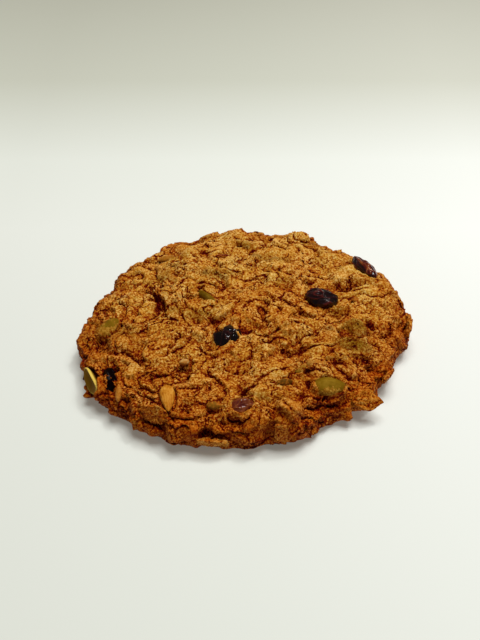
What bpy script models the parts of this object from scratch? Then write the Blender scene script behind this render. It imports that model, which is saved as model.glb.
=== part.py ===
"""Cranberry seed cookie, a large round oat cookie about 96 mm across.

The dough is one browned, craggy solid: a pressed ball with a low dome, a rounded
rim that overhangs a flat base, clumps, cracks, hollows, and oat flakes and small
seeds fused into its crust. Dried cranberries, pumpkin seeds and one sunflower
kernel are separate solids, each in a pocket of its own.

Frame: +Z up, origin at the middle of the flat base. The side at -Y is the front,
+X is the right. Sizes are real sizes in metres.
"""
import math
import random

import bmesh
import bpy
import numpy as np
from mathutils import Euler, Matrix, Vector, kdtree, noise

MM = 0.001
SEED = 7

# The middle of the finished cookie's outline, where the part's origin is put
MIDDLE = (0.65 * MM, -0.57 * MM, 0.0)

# ---- driving dimensions of the baked dough ----
MEAN_RADIUS = 46.6 * MM
CENTRE_HEIGHT = 14.6 * MM
SHOULDER_HEIGHT = 10.0 * MM
BELLY_HEIGHT = 4.4 * MM
SHOULDER_SHARE = 0.86     # radius share where the top turns into the rim
BASE_SHARE = 0.93         # radius share where the flat base starts
PROFILE_STEPS = 60
RIM_START = 0.8           # radius share where the rim's crags start
SMOOTH_FOOT = 3.0 * MM    # height below which the relief fades out towards the base

# Swells of the outline: times round, swell, bearing of a crest in degrees
SWELLS = ((2, 2.0 * MM, 47.0), (3, 0.7 * MM, -8.0), (4, 0.4 * MM, 15.7))

# Crags of the rim: bearing in degrees, reach (a notch is negative), half width in degrees
RIM_CRAGS = (
    (0.0, 1.3 * MM, 6.0),
    (27.0, 1.2 * MM, 2.6),
    (39.0, 0.9 * MM, 4.0),
    (113.0, -1.5 * MM, 2.2),
    (128.0, -0.7 * MM, 6.0),
    (162.0, 1.7 * MM, 2.2),
    (170.0, -0.9 * MM, 4.0),
    (193.0, 1.0 * MM, 9.0),
    (236.0, 0.8 * MM, 4.0),
    (248.0, 1.0 * MM, 2.4),
    (271.0, 1.4 * MM, 4.5),
    (284.0, 1.0 * MM, 3.0),
    (302.0, -1.6 * MM, 7.0),
    (320.0, 0.8 * MM, 3.4),
    (326.0, -1.6 * MM, 1.8),
    (332.0, 1.2 * MM, 3.0),
    (344.0, -1.0 * MM, 4.0),
)

# ---- relief of the crust ----
CLUMP_COUNT = 330
CLUMP_SPACING = 4.6 * MM
CLUMP_STEP = 0.55 * MM
CLUMP_LEAN = 0.13
CLUMP_BLEND = 2.0 * MM
GROOVE_DEPTH = 1.0 * MM
GROOVE_WIDTH = 1.0 * MM
ROUGH_DEPTH = 0.34 * MM
ROUGH_SCALE = 2.6 * MM

# Cracks: depth, half width, then the points that the crack runs through, in mm
CRACKS = (
    (1.7, 0.62, ((-31.5, -26.5, 11), (-26, -27.4, 11.5), (-22, -28.6, 12), (-15.9, -30.2, 12))),
    (1.4, 0.62, ((-15.9, -30.2, 12), (-9.8, -28.9, 13))),
    (1.2, 0.60, ((1.4, -34.4, 12), (6.2, -33.0, 12), (12.1, -30.4, 12))),
    (1.9, 0.75, ((24.0, -20.4, 12), (28.8, -22.3, 11), (33.6, -20.9, 10.5))),
    (1.4, 0.80, ((37.0, -6.0, 11), (39.6, -9.0, 10.5), (42.2, -12.2, 9.5))),
    (1.6, 0.60, ((17.0, -25.4, 12), (18.4, -29.6, 11.5))),
    (1.5, 0.80, ((16.6, -35.2, 10.5), (21.0, -36.2, 9.5), (26.4, -35.0, 8))),
    (2.2, 1.30, ((-28.5, 11.0, 12.5), (-25.4, 3.2, 13), (-22.8, -1.8, 13.5))),
    (1.7, 0.80, ((-14.0, 7.4, 14), (-8.0, 2.6, 14.7))),
    (1.1, 0.50, ((-22.4, -7.4, 13.5), (-16.6, -10.0, 14), (-11.0, -12.0, 14.3))),
    (1.3, 0.70, ((-4.0, 39.4, 11), (2.6, 39.4, 11), (8.4, 36.6, 11.5))),
    (1.0, 0.50, ((1.0, 19.2, 14), (3.4, 20.6, 14), (5.6, 20.0, 14))),
    (1.2, 0.60, ((-8.6, -33.6, 11.5), (-10.6, -36.6, 11), (-9.0, -40.0, 10))),
    (1.0, 0.55, ((4.8, 2.6, 14.6), (9.6, 0.6, 14.5), (13.0, 1.4, 14.3))),
    (1.0, 0.55, ((-14.8, 22.0, 13), (-9.6, 19.6, 13.6), (-8.6, 14.4, 14))),
)

# Hollows and, with a negative depth, lumps: point in mm, half length, half width,
# depth, heading of the length in degrees
HOLLOWS = (
    ((32.4, 12.8, 12.0), 5.2, 2.4, 2.4, 10),
    ((22.6, 4.6, 13.6), 6.6, 5.6, 1.1, 5),
    ((-4.8, -13.6, 14.3), 5.4, 4.6, 1.0, 30),
    ((-40.4, -13.0, 10.4), 3.4, 2.2, 1.6, 110),
    ((-33.0, -7.3, 12.0), 1.3, 1.1, 1.7, 0),
    ((-4.4, -44.4, 9.4), 3.4, 1.9, 1.8, 0),
    ((-8.0, -39.8, 10.8), 2.6, 1.4, 1.3, 0),
    ((-37.4, -24.6, 10.2), 1.9, 2.5, 1.9, 0),
    ((-36.2, -30.2, 9.0), 0.8, 2.6, 1.7, 0),
    ((22.5, -31.7, 10.5), 6.6, 4.4, 0.7, 8),
    ((33.1, 20.2, 11.2), 4.0, 3.2, -1.7, 20),
    ((12.8, -40.9, 9.6), 4.2, 3.4, -1.2, 0),
    ((-39.6, -19.2, 10.4), 4.6, 2.0, -1.3, -20),
    ((-17.0, 29.0, 12.4), 3.4, 3.0, -1.0, 0),
    ((-20.0, -35.4, 11.0), 6.6, 5.2, -0.9, 0),
    ((20.4, -24.8, 12.0), 4.0, 3.2, -0.9, 10),
    ((14.0, -8.0, 14.3), 7.0, 6.0, -0.7, 20),
)

# ---- flakes and small seeds fused into the crust ----
FLAKE_COUNT = 34
FLAKE_LENGTH = 7.4 * MM
FLAKE_LENGTH_SHARES = (0.75, 1.15)
FLAKE_SLENDER = 0.76
FLAKE_LEANS = (8.0, 22.0)  # degrees out of the crust
FLAKE_LOWEST = 4.0 * MM    # no scattered flake nearer the base than this
FLAKE_THICKNESS = 0.9 * MM
FLAKE_SPACING = 8.0 * MM
FLAKE_SINK = 0.15 * MM
FLAKE_SIDES = 8
RIM_FLAKE_THICKNESS = 1.3 * MM
TOPPING_CLEARANCE = 7.5 * MM

# Flakes that stand out at the rim: point in mm, half length, half width, heading, lean
RIM_FLAKES = (
    ((11.0, -44.6, 6.0), 4.0, 3.0, -10, 8),
    ((47.4, -1.6, 6.6), 4.2, 2.8, 88, 38),
    ((-8.4, -46.4, 4.0), 4.6, 2.0, 4, 20),
    ((-23.2, -41.2, 8.4), 4.0, 2.8, -12, 30),
    ((39.6, -22.6, 5.4), 3.0, 2.0, 60, 30),
)

# The flake that points out at the right: middle in mm, half length, half width, then its
# lean, the dip of its tip and its heading in degrees, and how far it narrows to the tip
POINTED_FLAKE = ((33.2, -32.9, 6.0), 4.6, 3.0, (38, 6, 4))
POINTED_TAPER = 0.85

# Small seeds and crumbs that lie proud: point in mm, half length, half width,
# half height, heading of the length in degrees
SMALL_SEEDS = (
    ((15.2, -26.8, 12.3), 1.9, 1.3, 1.0, 30),
    ((-24.1, 27.2, 11.2), 2.6, 1.6, 0.9, 20),
    ((9.2, 22.9, 13.4), 2.2, 1.5, 0.8, 60),
    ((-8.0, -39.5, 10.6), 2.0, 1.2, 1.0, 0),
    ((10.5, -31.6, 11.6), 2.4, 1.1, 0.9, 15),
    ((19.9, -24.5, 12.9), 3.0, 2.2, 1.1, 0),
    ((-16.1, -24.6, 12.9), 1.4, 1.1, 0.8, 0),
    ((-33.8, -33.0, 9.0), 2.6, 0.9, 0.8, 75),
    ((-18.6, -44.8, 4.8), 1.5, 1.4, 1.0, 0),
    ((9.1, -43.0, 9.2), 1.7, 1.5, 1.2, 0),
    ((-6.7, 25.5, 13.1), 2.4, 1.0, 0.7, 0),
    ((-22.8, 5.0, 13.4), 1.3, 1.0, 0.8, 0),
    ((32.7, 4.7, 12.2), 1.4, 1.0, 0.7, 20),
)

# ---- separate toppings ----
GAP = 0.32 * MM

LARGE_BERRY = 6.0         # length in mm from which a berry gets the finer mesh
BERRY_DENTS = 7
BERRY_DENT_REACH = (0.72, 0.9)   # radius share past which a dent flattens the berry
BERRY_DENT_DEPTH = 0.85          # share of the skin past it that the dent takes away
BERRY_FOLDS = 5
BERRY_FOLD_DEPTH = 0.05
BERRY_FOLD_TWIST = 2.5

# How far each kind of seed narrows to its pointed end
SMALL_SEED_TAPER = 0.2
PUMPKIN_TAPER = 0.3
SPLIT_SEED_TAPER = 0.2
SUNFLOWER_TAPER = 0.75

SEED_CUTS = (8, 10)       # rings along a seed and sides round it
SPLIT_SEED_CUTS = (10, 16)
SPLIT_SEED_DISH = 1.1     # how deep the split seed's outer face is dished, of its half thickness
SPLIT_SEED_RIDGE = 0.6    # how high its upper edge stands, of its half thickness

# Dried cranberries: name, point in mm, length, width, height, heading, lean, rise
CRANBERRIES = (
    ("cranberry_1", (22.7, 4.7, 13.6), 9.8, 8.0, 4.6, 8, 0, -0.8),
    ("cranberry_2", (-4.8, -14.3, 14.3), 8.4, 8.0, 4.6, 65, 0, -1.3),
    ("cranberry_3", (36.8, 22.8, 10.6), 12.6, 5.0, 4.4, -66, 0, 0.4),
    ("cranberry_4", (-37.6, -27.2, 9.7), 8.8, 4.2, 3.6, -80, 0, -1.8),
    ("cranberry_5", (-0.6, -39.6, 10.7), 6.6, 5.2, 3.6, 20, 0, -0.2),
)

# Pumpkin seeds: name, point in mm, length, width, thickness, heading, lean, rise
PUMPKIN_SEEDS = (
    ("pumpkin_seed_1", (22.5, -31.7, 10.5), 8.8, 6.8, 3.4, 5, 4, 0.0),
    ("pumpkin_seed_2", (-38.8, -6.6, 10.9), 8.0, 6.0, 2.4, 60, 6, 0.1),
    ("pumpkin_seed_3", (31.5, -9.5, 11.9), 7.6, 5.8, 2.4, 100, 6, 0.1),
    ("pumpkin_seed_4", (30.6, -16.2, 11.5), 9.6, 5.6, 2.4, -4, 8, 0.0),
    ("pumpkin_seed_6", (-11.0, 3.0, 14.4), 7.6, 3.0, 1.6, -46, 68, -0.3),
)

# The split seed at the rim, its outer face dished like a boat, in the same layout
SPLIT_SEED = ("pumpkin_seed_5", (-42.5, -26.2, 7.0), 9.6, 5.2, 3.2, 98, 0, 0.8)

SUNFLOWER_SEED = ("sunflower_seed_1", (-20.2, -37.2, 10.7), 9.6, 5.4, 2.4, -84, 0, 0.7)

BALL_CUTS = 61
CRUST_TRIANGLES = 5000


def clear_scene():
    """Remove what the open scene holds."""
    for thing in list(bpy.data.objects):
        bpy.data.objects.remove(thing, do_unlink=True)


def material(name, colour, roughness):
    """A plain finish in one colour."""
    finish = bpy.data.materials.new(name)
    finish.use_nodes = True
    shader = finish.node_tree.nodes["Principled BSDF"]
    shader.inputs["Base Color"].default_value = (*colour, 1.0)
    shader.inputs["Roughness"].default_value = roughness
    shader.inputs["Metallic"].default_value = 0.0
    return finish


def new_object(name, bm, finish=None):
    """Put a finished bmesh into the scene as one object."""
    mesh = bpy.data.meshes.new(name)
    bm.to_mesh(mesh)
    bm.free()
    thing = bpy.data.objects.new(name, mesh)
    bpy.context.scene.collection.objects.link(thing)
    if finish:
        mesh.materials.append(finish)
    return thing


# ---- form of the pressed ball ----

def outline_radius(bearing):
    """Radius of the outline at bearings in radians."""
    radius = np.full_like(bearing, MEAN_RADIUS)
    for times, swell, crest in SWELLS:
        radius += swell * np.cos(times * (bearing - math.radians(crest)))
    return radius


def crag_reach(bearing):
    """How far the rim's crags reach out at bearings in radians."""
    reach = np.zeros_like(bearing)
    for middle, out, half_width in RIM_CRAGS:
        turn = np.degrees(bearing) - middle
        turn = (turn + 180.0) % 360.0 - 180.0
        reach += out * np.exp(-(turn / half_width) ** 2)
    return reach


def profile():
    """Section from the middle of the top, over the rim, to the middle of the base."""
    steps = PROFILE_STEPS
    lift = CENTRE_HEIGHT - SHOULDER_HEIGHT
    points = []
    for step in range(steps + 1):
        share = step / steps
        points.append((SHOULDER_SHARE * share, SHOULDER_HEIGHT + lift * (1 - share ** 2)))
    for step in range(1, steps + 1):
        turn = math.pi / 2 * step / steps
        across = SHOULDER_SHARE + (1 - SHOULDER_SHARE) * math.sin(turn)
        points.append((across, BELLY_HEIGHT + (SHOULDER_HEIGHT - BELLY_HEIGHT) * math.cos(turn)))
    for step in range(1, steps + 1):
        turn = math.pi / 2 * step / steps
        across = BASE_SHARE + (1 - BASE_SHARE) * math.cos(turn)
        points.append((across, BELLY_HEIGHT * (1 - math.sin(turn))))
    for step in range(1, steps + 1):
        points.append((BASE_SHARE * (1 - step / steps), 0.0))
    return np.array(points)


def press(directions):
    """Press a unit ball's points into the cookie, keeping the area of every patch."""
    section = profile()
    across = section[:, 0] * MEAN_RADIUS
    steps = np.hypot(np.diff(across), np.diff(section[:, 1]))
    area = np.concatenate(((0.0,), np.cumsum(steps * (across[1:] + across[:-1]))))
    share = (1 - directions[:, 2]) / 2 * area[-1]
    bearing = np.arctan2(directions[:, 1], directions[:, 0])
    radius = outline_radius(bearing) * np.interp(share, area, section[:, 0])
    height = np.interp(share, area, section[:, 1])
    return np.stack((radius * np.cos(bearing), radius * np.sin(bearing), height), axis=1)


def pressed_ball(cuts):
    """A closed mesh in the cookie's smooth form, from a subdivided cube."""
    bm = bmesh.new()
    bmesh.ops.create_cube(bm, size=2.0)
    bmesh.ops.subdivide_edges(bm, edges=bm.edges[:], cuts=cuts, use_grid_fill=True)
    cube = np.array([vertex.co for vertex in bm.verts])
    ball = np.tan(cube * math.pi / 4)
    ball /= np.linalg.norm(ball, axis=1)[:, None]
    for vertex, place in zip(bm.verts, press(ball)):
        vertex.co = place
    bmesh.ops.triangulate(bm, faces=bm.faces[:])
    bm.normal_update()
    return bm


def spread(rng, count, spacing):
    """Random points on the smooth form, no two nearer than the spacing."""
    kept = []
    for _ in range(count * 60):
        height = rng.uniform(-1, 1)
        turn = rng.uniform(0, 2 * math.pi)
        flat = math.sqrt(1 - height * height)
        direction = np.array([[flat * math.cos(turn), flat * math.sin(turn), height]])
        place = Vector(press(direction)[0])
        if all((place - other).length > spacing for other in kept):
            kept.append(place)
        if len(kept) == count:
            break
    return kept


# ---- relief ----

def clump_relief(places):
    """Height of the clumps: steps and leans of each clump, with grooves between."""
    rng = random.Random(SEED)
    seeds = spread(rng, CLUMP_COUNT, CLUMP_SPACING)
    steps = [rng.uniform(-1, 1) * CLUMP_STEP for _ in seeds]
    leans = [Vector((rng.gauss(0, 1), rng.gauss(0, 1), rng.gauss(0, 1))) * CLUMP_LEAN for _ in seeds]
    depths = [rng.uniform(0.15, 1.0) for _ in seeds]
    tree = kdtree.KDTree(len(seeds))
    for index, seed in enumerate(seeds):
        tree.insert(seed, index)
    tree.balance()
    relief = np.empty(len(places))
    for row, place in enumerate(places):
        near = tree.find_n(place, 3)
        first = near[0][2]
        total = 0.0
        height = 0.0
        for seed, index, distance in near:
            weight = math.exp(-(distance - first) * 4 / CLUMP_BLEND)
            total += weight
            height += weight * (steps[index] + leans[index].dot(place - seed))
        pinch = math.exp(-((near[1][2] - first) / GROOVE_WIDTH) ** 2)
        depth = depths[near[0][1]] * depths[near[1][1]]
        relief[row] = height / total - GROOVE_DEPTH * depth * pinch
    return relief


def rough_relief(places):
    """Uneven grain of the crust between the clumps."""
    relief = np.empty(len(places))
    for row, place in enumerate(places):
        relief[row] = ROUGH_DEPTH * noise.noise(place / ROUGH_SCALE)
    return relief


def distance_to_run(places, points):
    """Distance of every place to a run of straight stretches."""
    nearest = np.full(len(places), 1.0)
    for start, end in zip(points[:-1], points[1:]):
        along = end - start
        share = np.clip((places - start) @ along / (along @ along), 0, 1)
        gap = places - (start + share[:, None] * along)
        nearest = np.minimum(nearest, np.linalg.norm(gap, axis=1))
    return nearest


def crack_relief(places, crust):
    """Depth of the cracks."""
    relief = np.zeros(len(places))
    for depth, half_width, points in CRACKS:
        run = np.array([crust.at(point)[0] for point in points])
        gap = distance_to_run(places, run)
        relief -= depth * MM * np.exp(-(gap / (half_width * MM)) ** 2)
    return relief


def hollow_relief(places, crust):
    """Depth of the hollows and height of the lumps."""
    relief = np.zeros(len(places))
    for point, half_length, half_width, depth, heading in HOLLOWS:
        frame = crust.frame(point, heading)
        local = (places - np.array(frame.translation)) @ np.array(frame.to_3x3())
        size = np.array((half_length, half_width, max(half_length, half_width))) * MM
        reach = np.linalg.norm(local / size, axis=1)
        relief -= depth * MM * np.exp(-reach ** 4)
    return relief


class Crust:
    """The smooth form's points and normals, to place things on it."""

    def __init__(self, bm):
        self.points = [vertex.co.copy() for vertex in bm.verts]
        self.normals = [vertex.normal.copy() for vertex in bm.verts]
        self.tree = kdtree.KDTree(len(self.points))
        for index, point in enumerate(self.points):
            self.tree.insert(point, index)
        self.tree.balance()

    def at(self, point):
        """Crust point and normal next to a point given in mm."""
        place, index, _ = self.tree.find(Vector(point) * MM)
        return place, self.normals[index]

    def frame(self, point, heading, lean=0.0, rise=0.0):
        """Frame on the crust: Z out of it, X along the heading in degrees."""
        place, up = self.at(point)
        turn = math.radians(heading)
        ahead = Vector((math.cos(turn), math.sin(turn), 0.0))
        side = up.cross(ahead).normalized()
        ahead = side.cross(up)
        axes = Matrix((ahead, side, up)).transposed().to_4x4()
        return Matrix.Translation(place + up * rise) @ axes @ Matrix.Rotation(math.radians(lean), 4, "X")


def baked_dough(crust):
    """The dough's crust with its clumps, cracks, hollows and rim crags."""
    bm = pressed_ball(BALL_CUTS)
    places = np.array([vertex.co for vertex in bm.verts])
    vectors = [vertex.co.copy() for vertex in bm.verts]
    relief = clump_relief(vectors) + rough_relief(vectors)
    relief += crack_relief(places, crust) + hollow_relief(places, crust)
    bearing = np.arctan2(places[:, 1], places[:, 0])
    across = np.hypot(places[:, 0], places[:, 1]) / outline_radius(bearing)
    rim = np.clip((across - RIM_START) / (1 - RIM_START), 0, 1) ** 2
    fade = np.clip(places[:, 2] / SMOOTH_FOOT, 0, 1)
    outward = crag_reach(bearing) * rim * np.clip(places[:, 2] / BELLY_HEIGHT, 0.25, 1)
    for row, vertex in enumerate(bm.verts):
        out = Vector((math.cos(bearing[row]), math.sin(bearing[row]), 0.0))
        vertex.co += vertex.normal * float(relief[row] * fade[row]) + out * float(outward[row])
        vertex.co.z = max(vertex.co.z, 0.0)
    return bm


# ---- pieces ----

def flake_mesh(half_length, half_width, thickness, frame, rng, taper=0.0):
    """An oat flake: a thin uneven oval with a raised middle, that may narrow to +X."""
    bm = bmesh.new()
    bmesh.ops.create_cone(
        bm, cap_ends=True, cap_tris=True, segments=FLAKE_SIDES, radius1=1.0, radius2=0.84, depth=1.0)
    uneven = [rng.uniform(0.8, 1.12) for _ in range(FLAKE_SIDES)]
    for vertex in bm.verts:
        if math.hypot(vertex.co.x, vertex.co.y) < 0.1:
            vertex.co.z *= 1.5
        else:
            turn = math.atan2(vertex.co.y, vertex.co.x) / (2 * math.pi)
            reach = uneven[round(turn * FLAKE_SIDES) % FLAKE_SIDES]
            vertex.co.y *= 1 - taper * max(vertex.co.x, 0)
            vertex.co.x *= reach
            vertex.co.y *= reach
    bmesh.ops.scale(bm, vec=(half_length, half_width, thickness), verts=bm.verts)
    bmesh.ops.transform(bm, matrix=frame, verts=bm.verts)
    return bm


def kernel_mesh(size, frame, cuts=(4, 6), taper=0.0, dish=0.0, ridge=0.0):
    """A seed kernel: an egg-shaped, flattened ball that narrows to +X.

    A split one is dished at +Z and has a ridge along its edge at -Y.
    """
    rings, sides = cuts
    bm = bmesh.new()
    bmesh.ops.create_uvsphere(bm, u_segments=sides, v_segments=rings, radius=1.0)
    bmesh.ops.rotate(bm, matrix=Matrix.Rotation(math.pi / 2, 3, "Y"), verts=bm.verts)
    for vertex in bm.verts:
        inner = min(vertex.co.x ** 2 + vertex.co.y ** 2, 1)
        if vertex.co.z > 0:
            vertex.co.z -= dish * (1 - inner)
        vertex.co.z += ridge * max(-vertex.co.y, 0) ** 3
        narrowed = taper * (vertex.co.x + 1) / 2
        vertex.co.y *= 1 - narrowed
        vertex.co.z *= 1 - narrowed / 2
    bmesh.ops.scale(bm, vec=size, verts=bm.verts)
    bmesh.ops.transform(bm, matrix=frame, verts=bm.verts)
    return bm


def cranberry_mesh(name, size, frame, detail=3):
    """A dried berry: a shrunken ball with dents and lengthwise folds."""
    rng = random.Random(name)
    bm = bmesh.new()
    bmesh.ops.create_icosphere(bm, subdivisions=detail, radius=1.0)
    dents = []
    for _ in range(BERRY_DENTS):
        side = Vector((rng.gauss(0, 0.7), rng.gauss(0, 1), rng.gauss(0, 1))).normalized()
        dents.append((side, rng.uniform(*BERRY_DENT_REACH)))
    for vertex in bm.verts:
        turn = BERRY_FOLDS * math.atan2(vertex.co.z, vertex.co.y) + BERRY_FOLD_TWIST * vertex.co.x
        fold = BERRY_FOLD_DEPTH * math.sin(turn) * (1 - vertex.co.x ** 2)
        for side, reach in dents:
            past = vertex.co.dot(side) - reach
            if past > 0:
                vertex.co -= side * past * BERRY_DENT_DEPTH
        vertex.co *= 1 + fold
    bmesh.ops.scale(bm, vec=size, verts=bm.verts)
    bmesh.ops.transform(bm, matrix=frame, verts=bm.verts)
    return bm


def grown(bm, gap):
    """A copy of a closed mesh pushed out by the gap, for its pocket."""
    copy = bm.copy()
    copy.normal_update()
    moves = [vertex.normal * gap for vertex in copy.verts]
    for vertex, move in zip(copy.verts, moves):
        vertex.co += move
    return copy


def scattered_flakes(crust):
    """Oat flakes spread over the crust, each a little tilted out of it."""
    rng = random.Random(SEED + 1)
    toppings_placed = CRANBERRIES + PUMPKIN_SEEDS + (SPLIT_SEED, SUNFLOWER_SEED)
    taken = [Vector(entry[1]) * MM for entry in toppings_placed]
    pieces = []
    for place in spread(rng, FLAKE_COUNT * 2, FLAKE_SPACING):
        heading = rng.uniform(0, 360)
        lean = rng.choice((-1, 1)) * rng.uniform(*FLAKE_LEANS)
        half = FLAKE_LENGTH / 2 * rng.uniform(*FLAKE_LENGTH_SHARES)
        clear = min((place - other).length for other in taken) > TOPPING_CLEARANCE
        if place.z > FLAKE_LOWEST and clear and len(pieces) < FLAKE_COUNT:
            frame = crust.frame(place / MM, heading, lean, -FLAKE_SINK)
            pieces.append(flake_mesh(half, half * FLAKE_SLENDER, FLAKE_THICKNESS, frame, rng))
    return pieces


def fused_pieces(crust):
    """All flakes and small seeds that are one with the dough."""
    rng = random.Random(SEED + 2)
    pieces = scattered_flakes(crust)
    for point, half_length, half_width, heading, lean in RIM_FLAKES:
        frame = crust.frame(point, heading, lean)
        size = (half_length * MM, half_width * MM, RIM_FLAKE_THICKNESS)
        pieces.append(flake_mesh(*size, frame, rng))
    point, half_length, half_width, turns = POINTED_FLAKE
    turned = Euler([math.radians(turn) for turn in turns]).to_matrix().to_4x4()
    frame = Matrix.Translation(Vector(point) * MM) @ turned
    size = (half_length * MM, half_width * MM, RIM_FLAKE_THICKNESS)
    pieces.append(flake_mesh(*size, frame, rng, POINTED_TAPER))
    for point, half_length, half_width, half_height, heading in SMALL_SEEDS:
        frame = crust.frame(point, heading)
        size = Vector((half_length, half_width, half_height)) * MM
        pieces.append(kernel_mesh(size, frame, taper=SMALL_SEED_TAPER))
    return pieces


def toppings(crust):
    """Name, mesh and finish of every separate topping."""
    berry = material("dried_cranberry", (0.05, 0.006, 0.008), 0.25)
    olive = material("pumpkin_seed_skin", (0.22, 0.17, 0.03), 0.45)
    tan = material("sunflower_kernel", (0.47, 0.27, 0.08), 0.5)
    made = []
    for name, point, length, width, height, heading, lean, rise in CRANBERRIES:
        frame = crust.frame(point, heading, lean, rise * MM)
        detail = 3 if length > LARGE_BERRY else 2
        size = Vector((length, width, height)) * MM / 2
        made.append((name, cranberry_mesh(name, size, frame, detail), berry))
    split_form = (SPLIT_SEED_CUTS, SPLIT_SEED_TAPER, SPLIT_SEED_DISH, SPLIT_SEED_RIDGE)
    kernels = [(entry, (SEED_CUTS, PUMPKIN_TAPER), olive) for entry in PUMPKIN_SEEDS]
    kernels.append((SPLIT_SEED, split_form, olive))
    kernels.append((SUNFLOWER_SEED, (SEED_CUTS, SUNFLOWER_TAPER), tan))
    for entry, form, finish in kernels:
        name, point, length, width, thick, heading, lean, rise = entry
        frame = crust.frame(point, heading, lean, rise * MM)
        size = Vector((length, width, thick)) * MM / 2
        made.append((name, kernel_mesh(size, frame, *form), finish))
    return made


# ---- joining ----

def join_by(body, meshes, operation):
    """Apply one Boolean with all the meshes to the body, then remove them."""
    group = bpy.data.collections.new("boolean_pieces")
    bpy.context.scene.collection.children.link(group)
    for index, bm in enumerate(meshes):
        mesh = bpy.data.meshes.new(f"boolean_piece_{index}")
        bmesh.ops.triangulate(bm, faces=bm.faces[:])
        bm.to_mesh(mesh)
        bm.free()
        group.objects.link(bpy.data.objects.new(mesh.name, mesh))
    step = body.modifiers.new(operation.lower(), "BOOLEAN")
    step.operand_type = "COLLECTION"
    step.collection = group
    step.operation = operation
    step.solver = "MANIFOLD"
    apply_modifiers(body)
    for thing in list(group.objects):
        bpy.data.objects.remove(thing, do_unlink=True)
    bpy.data.collections.remove(group)


def apply_modifiers(body):
    """Keep the body's shape as its modifiers leave it."""
    view = bpy.context.evaluated_depsgraph_get()
    view.update()
    result = bpy.data.meshes.new_from_object(body.evaluated_get(view))
    body.modifiers.clear()
    old = body.data
    body.data = result
    bpy.data.meshes.remove(old)


def drop_scraps(body):
    """Keep only the largest closed piece of the body's mesh."""
    bm = bmesh.new()
    bm.from_mesh(body.data)
    left = set(bm.verts)
    groups = []
    while left:
        group = set()
        front = [left.pop()]
        while front:
            vertex = front.pop()
            group.add(vertex)
            near = [edge.other_vert(vertex) for edge in vertex.link_edges]
            fresh = [other for other in near if other in left]
            left.difference_update(fresh)
            front.extend(fresh)
        groups.append(group)
    groups.sort(key=len)
    scraps = [vertex for group in groups[:-1] for vertex in group]
    bmesh.ops.delete(bm, geom=scraps, context="VERTS")
    bm.to_mesh(body.data)
    bm.free()


def thin_out(body, triangles):
    """Bring the crust down to the given number of triangles, fewest where it is flat."""
    step = body.modifiers.new("thin", "DECIMATE")
    step.ratio = triangles / len(body.data.polygons)
    apply_modifiers(body)


def build():
    clear_scene()
    smooth = pressed_ball(BALL_CUTS)
    crust = Crust(smooth)
    smooth.free()
    browned = material("baked_dough", (0.42, 0.19, 0.045), 0.8)
    cookie = new_object("cookie", baked_dough(crust), browned)
    thin_out(cookie, CRUST_TRIANGLES)
    join_by(cookie, fused_pieces(crust), "UNION")
    pieces = toppings(crust)
    join_by(cookie, [grown(bm, GAP) for _, bm, _ in pieces], "DIFFERENCE")
    drop_scraps(cookie)
    made = [cookie]
    for name, bm, finish in pieces:
        topping = new_object(name, bm, finish)
        topping.data.shade_smooth()
        made.append(topping)
    for thing in made:
        thing.data.transform(Matrix.Translation(-Vector(MIDDLE)))


build()
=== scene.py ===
"""The looks of the cranberry seed cookie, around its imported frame. Metres, +Z up."""
import math
import random

import bmesh
import bpy
import numpy as np
from mathutils import Euler, Matrix, Vector, kdtree, noise


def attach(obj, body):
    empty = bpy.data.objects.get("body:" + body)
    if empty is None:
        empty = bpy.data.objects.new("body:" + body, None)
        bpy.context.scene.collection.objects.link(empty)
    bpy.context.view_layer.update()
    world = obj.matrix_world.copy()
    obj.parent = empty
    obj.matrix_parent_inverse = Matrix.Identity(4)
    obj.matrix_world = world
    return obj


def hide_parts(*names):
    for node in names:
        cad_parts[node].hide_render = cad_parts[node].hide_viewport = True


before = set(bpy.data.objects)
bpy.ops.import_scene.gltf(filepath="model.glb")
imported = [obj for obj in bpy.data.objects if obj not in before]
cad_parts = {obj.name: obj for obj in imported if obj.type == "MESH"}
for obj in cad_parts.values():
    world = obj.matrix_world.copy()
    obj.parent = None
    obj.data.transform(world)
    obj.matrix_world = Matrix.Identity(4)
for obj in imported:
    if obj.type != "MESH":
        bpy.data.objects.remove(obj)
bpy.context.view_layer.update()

# ---------------------------------------------------------------------------
# The dough: one browned oat crust, scooped as a ball that spreads flat in the
# oven. It has a low dome, a rounded rim over a flat base, clumps, cracks and
# hollows, and a coarse crumb of nodules with gaps between them. Its colour is
# painted dark as shade in the hollows, cracks and gaps, and pale on its rises.
# ---------------------------------------------------------------------------
MM = 0.001
SEED = 7
# noise vectors draw from a seed as well
noise.seed_set(SEED)
MIDDLE = Vector((0.65, -0.57, 0.0)) * MM
MEAN_RADIUS = 46.6 * MM
CENTRE_HEIGHT = 14.6 * MM
SHOULDER_HEIGHT = 10.0 * MM
BELLY_HEIGHT = 4.4 * MM
SHOULDER_SHARE = 0.86
BASE_SHARE = 0.93
PROFILE_STEPS = 60
RIM_START = 0.8
SMOOTH_FOOT = 3.0 * MM
SWELLS = ((2, 2.0 * MM, 47.0), (3, 0.7 * MM, -8.0), (4, 0.4 * MM, 15.7))

# bearing in degrees, reach, half width in degrees
RIM_CRAGS = (
    (0.0, 1.3 * MM, 6.0),
    (27.0, 1.2 * MM, 2.6),
    (39.0, 0.9 * MM, 4.0),
    (113.0, -1.5 * MM, 2.2),
    (128.0, -0.7 * MM, 6.0),
    (162.0, 1.7 * MM, 2.2),
    (170.0, -0.9 * MM, 4.0),
    (193.0, 1.0 * MM, 9.0),
    (236.0, 0.8 * MM, 4.0),
    (248.0, 1.0 * MM, 2.4),
    (271.0, 1.4 * MM, 4.5),
    (284.0, 1.0 * MM, 3.0),
    (302.0, -1.6 * MM, 7.0),
    (320.0, 0.8 * MM, 3.4),
    (326.0, -1.6 * MM, 1.8),
    (332.0, 1.2 * MM, 3.0),
    (344.0, -1.0 * MM, 4.0),
)

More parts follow.
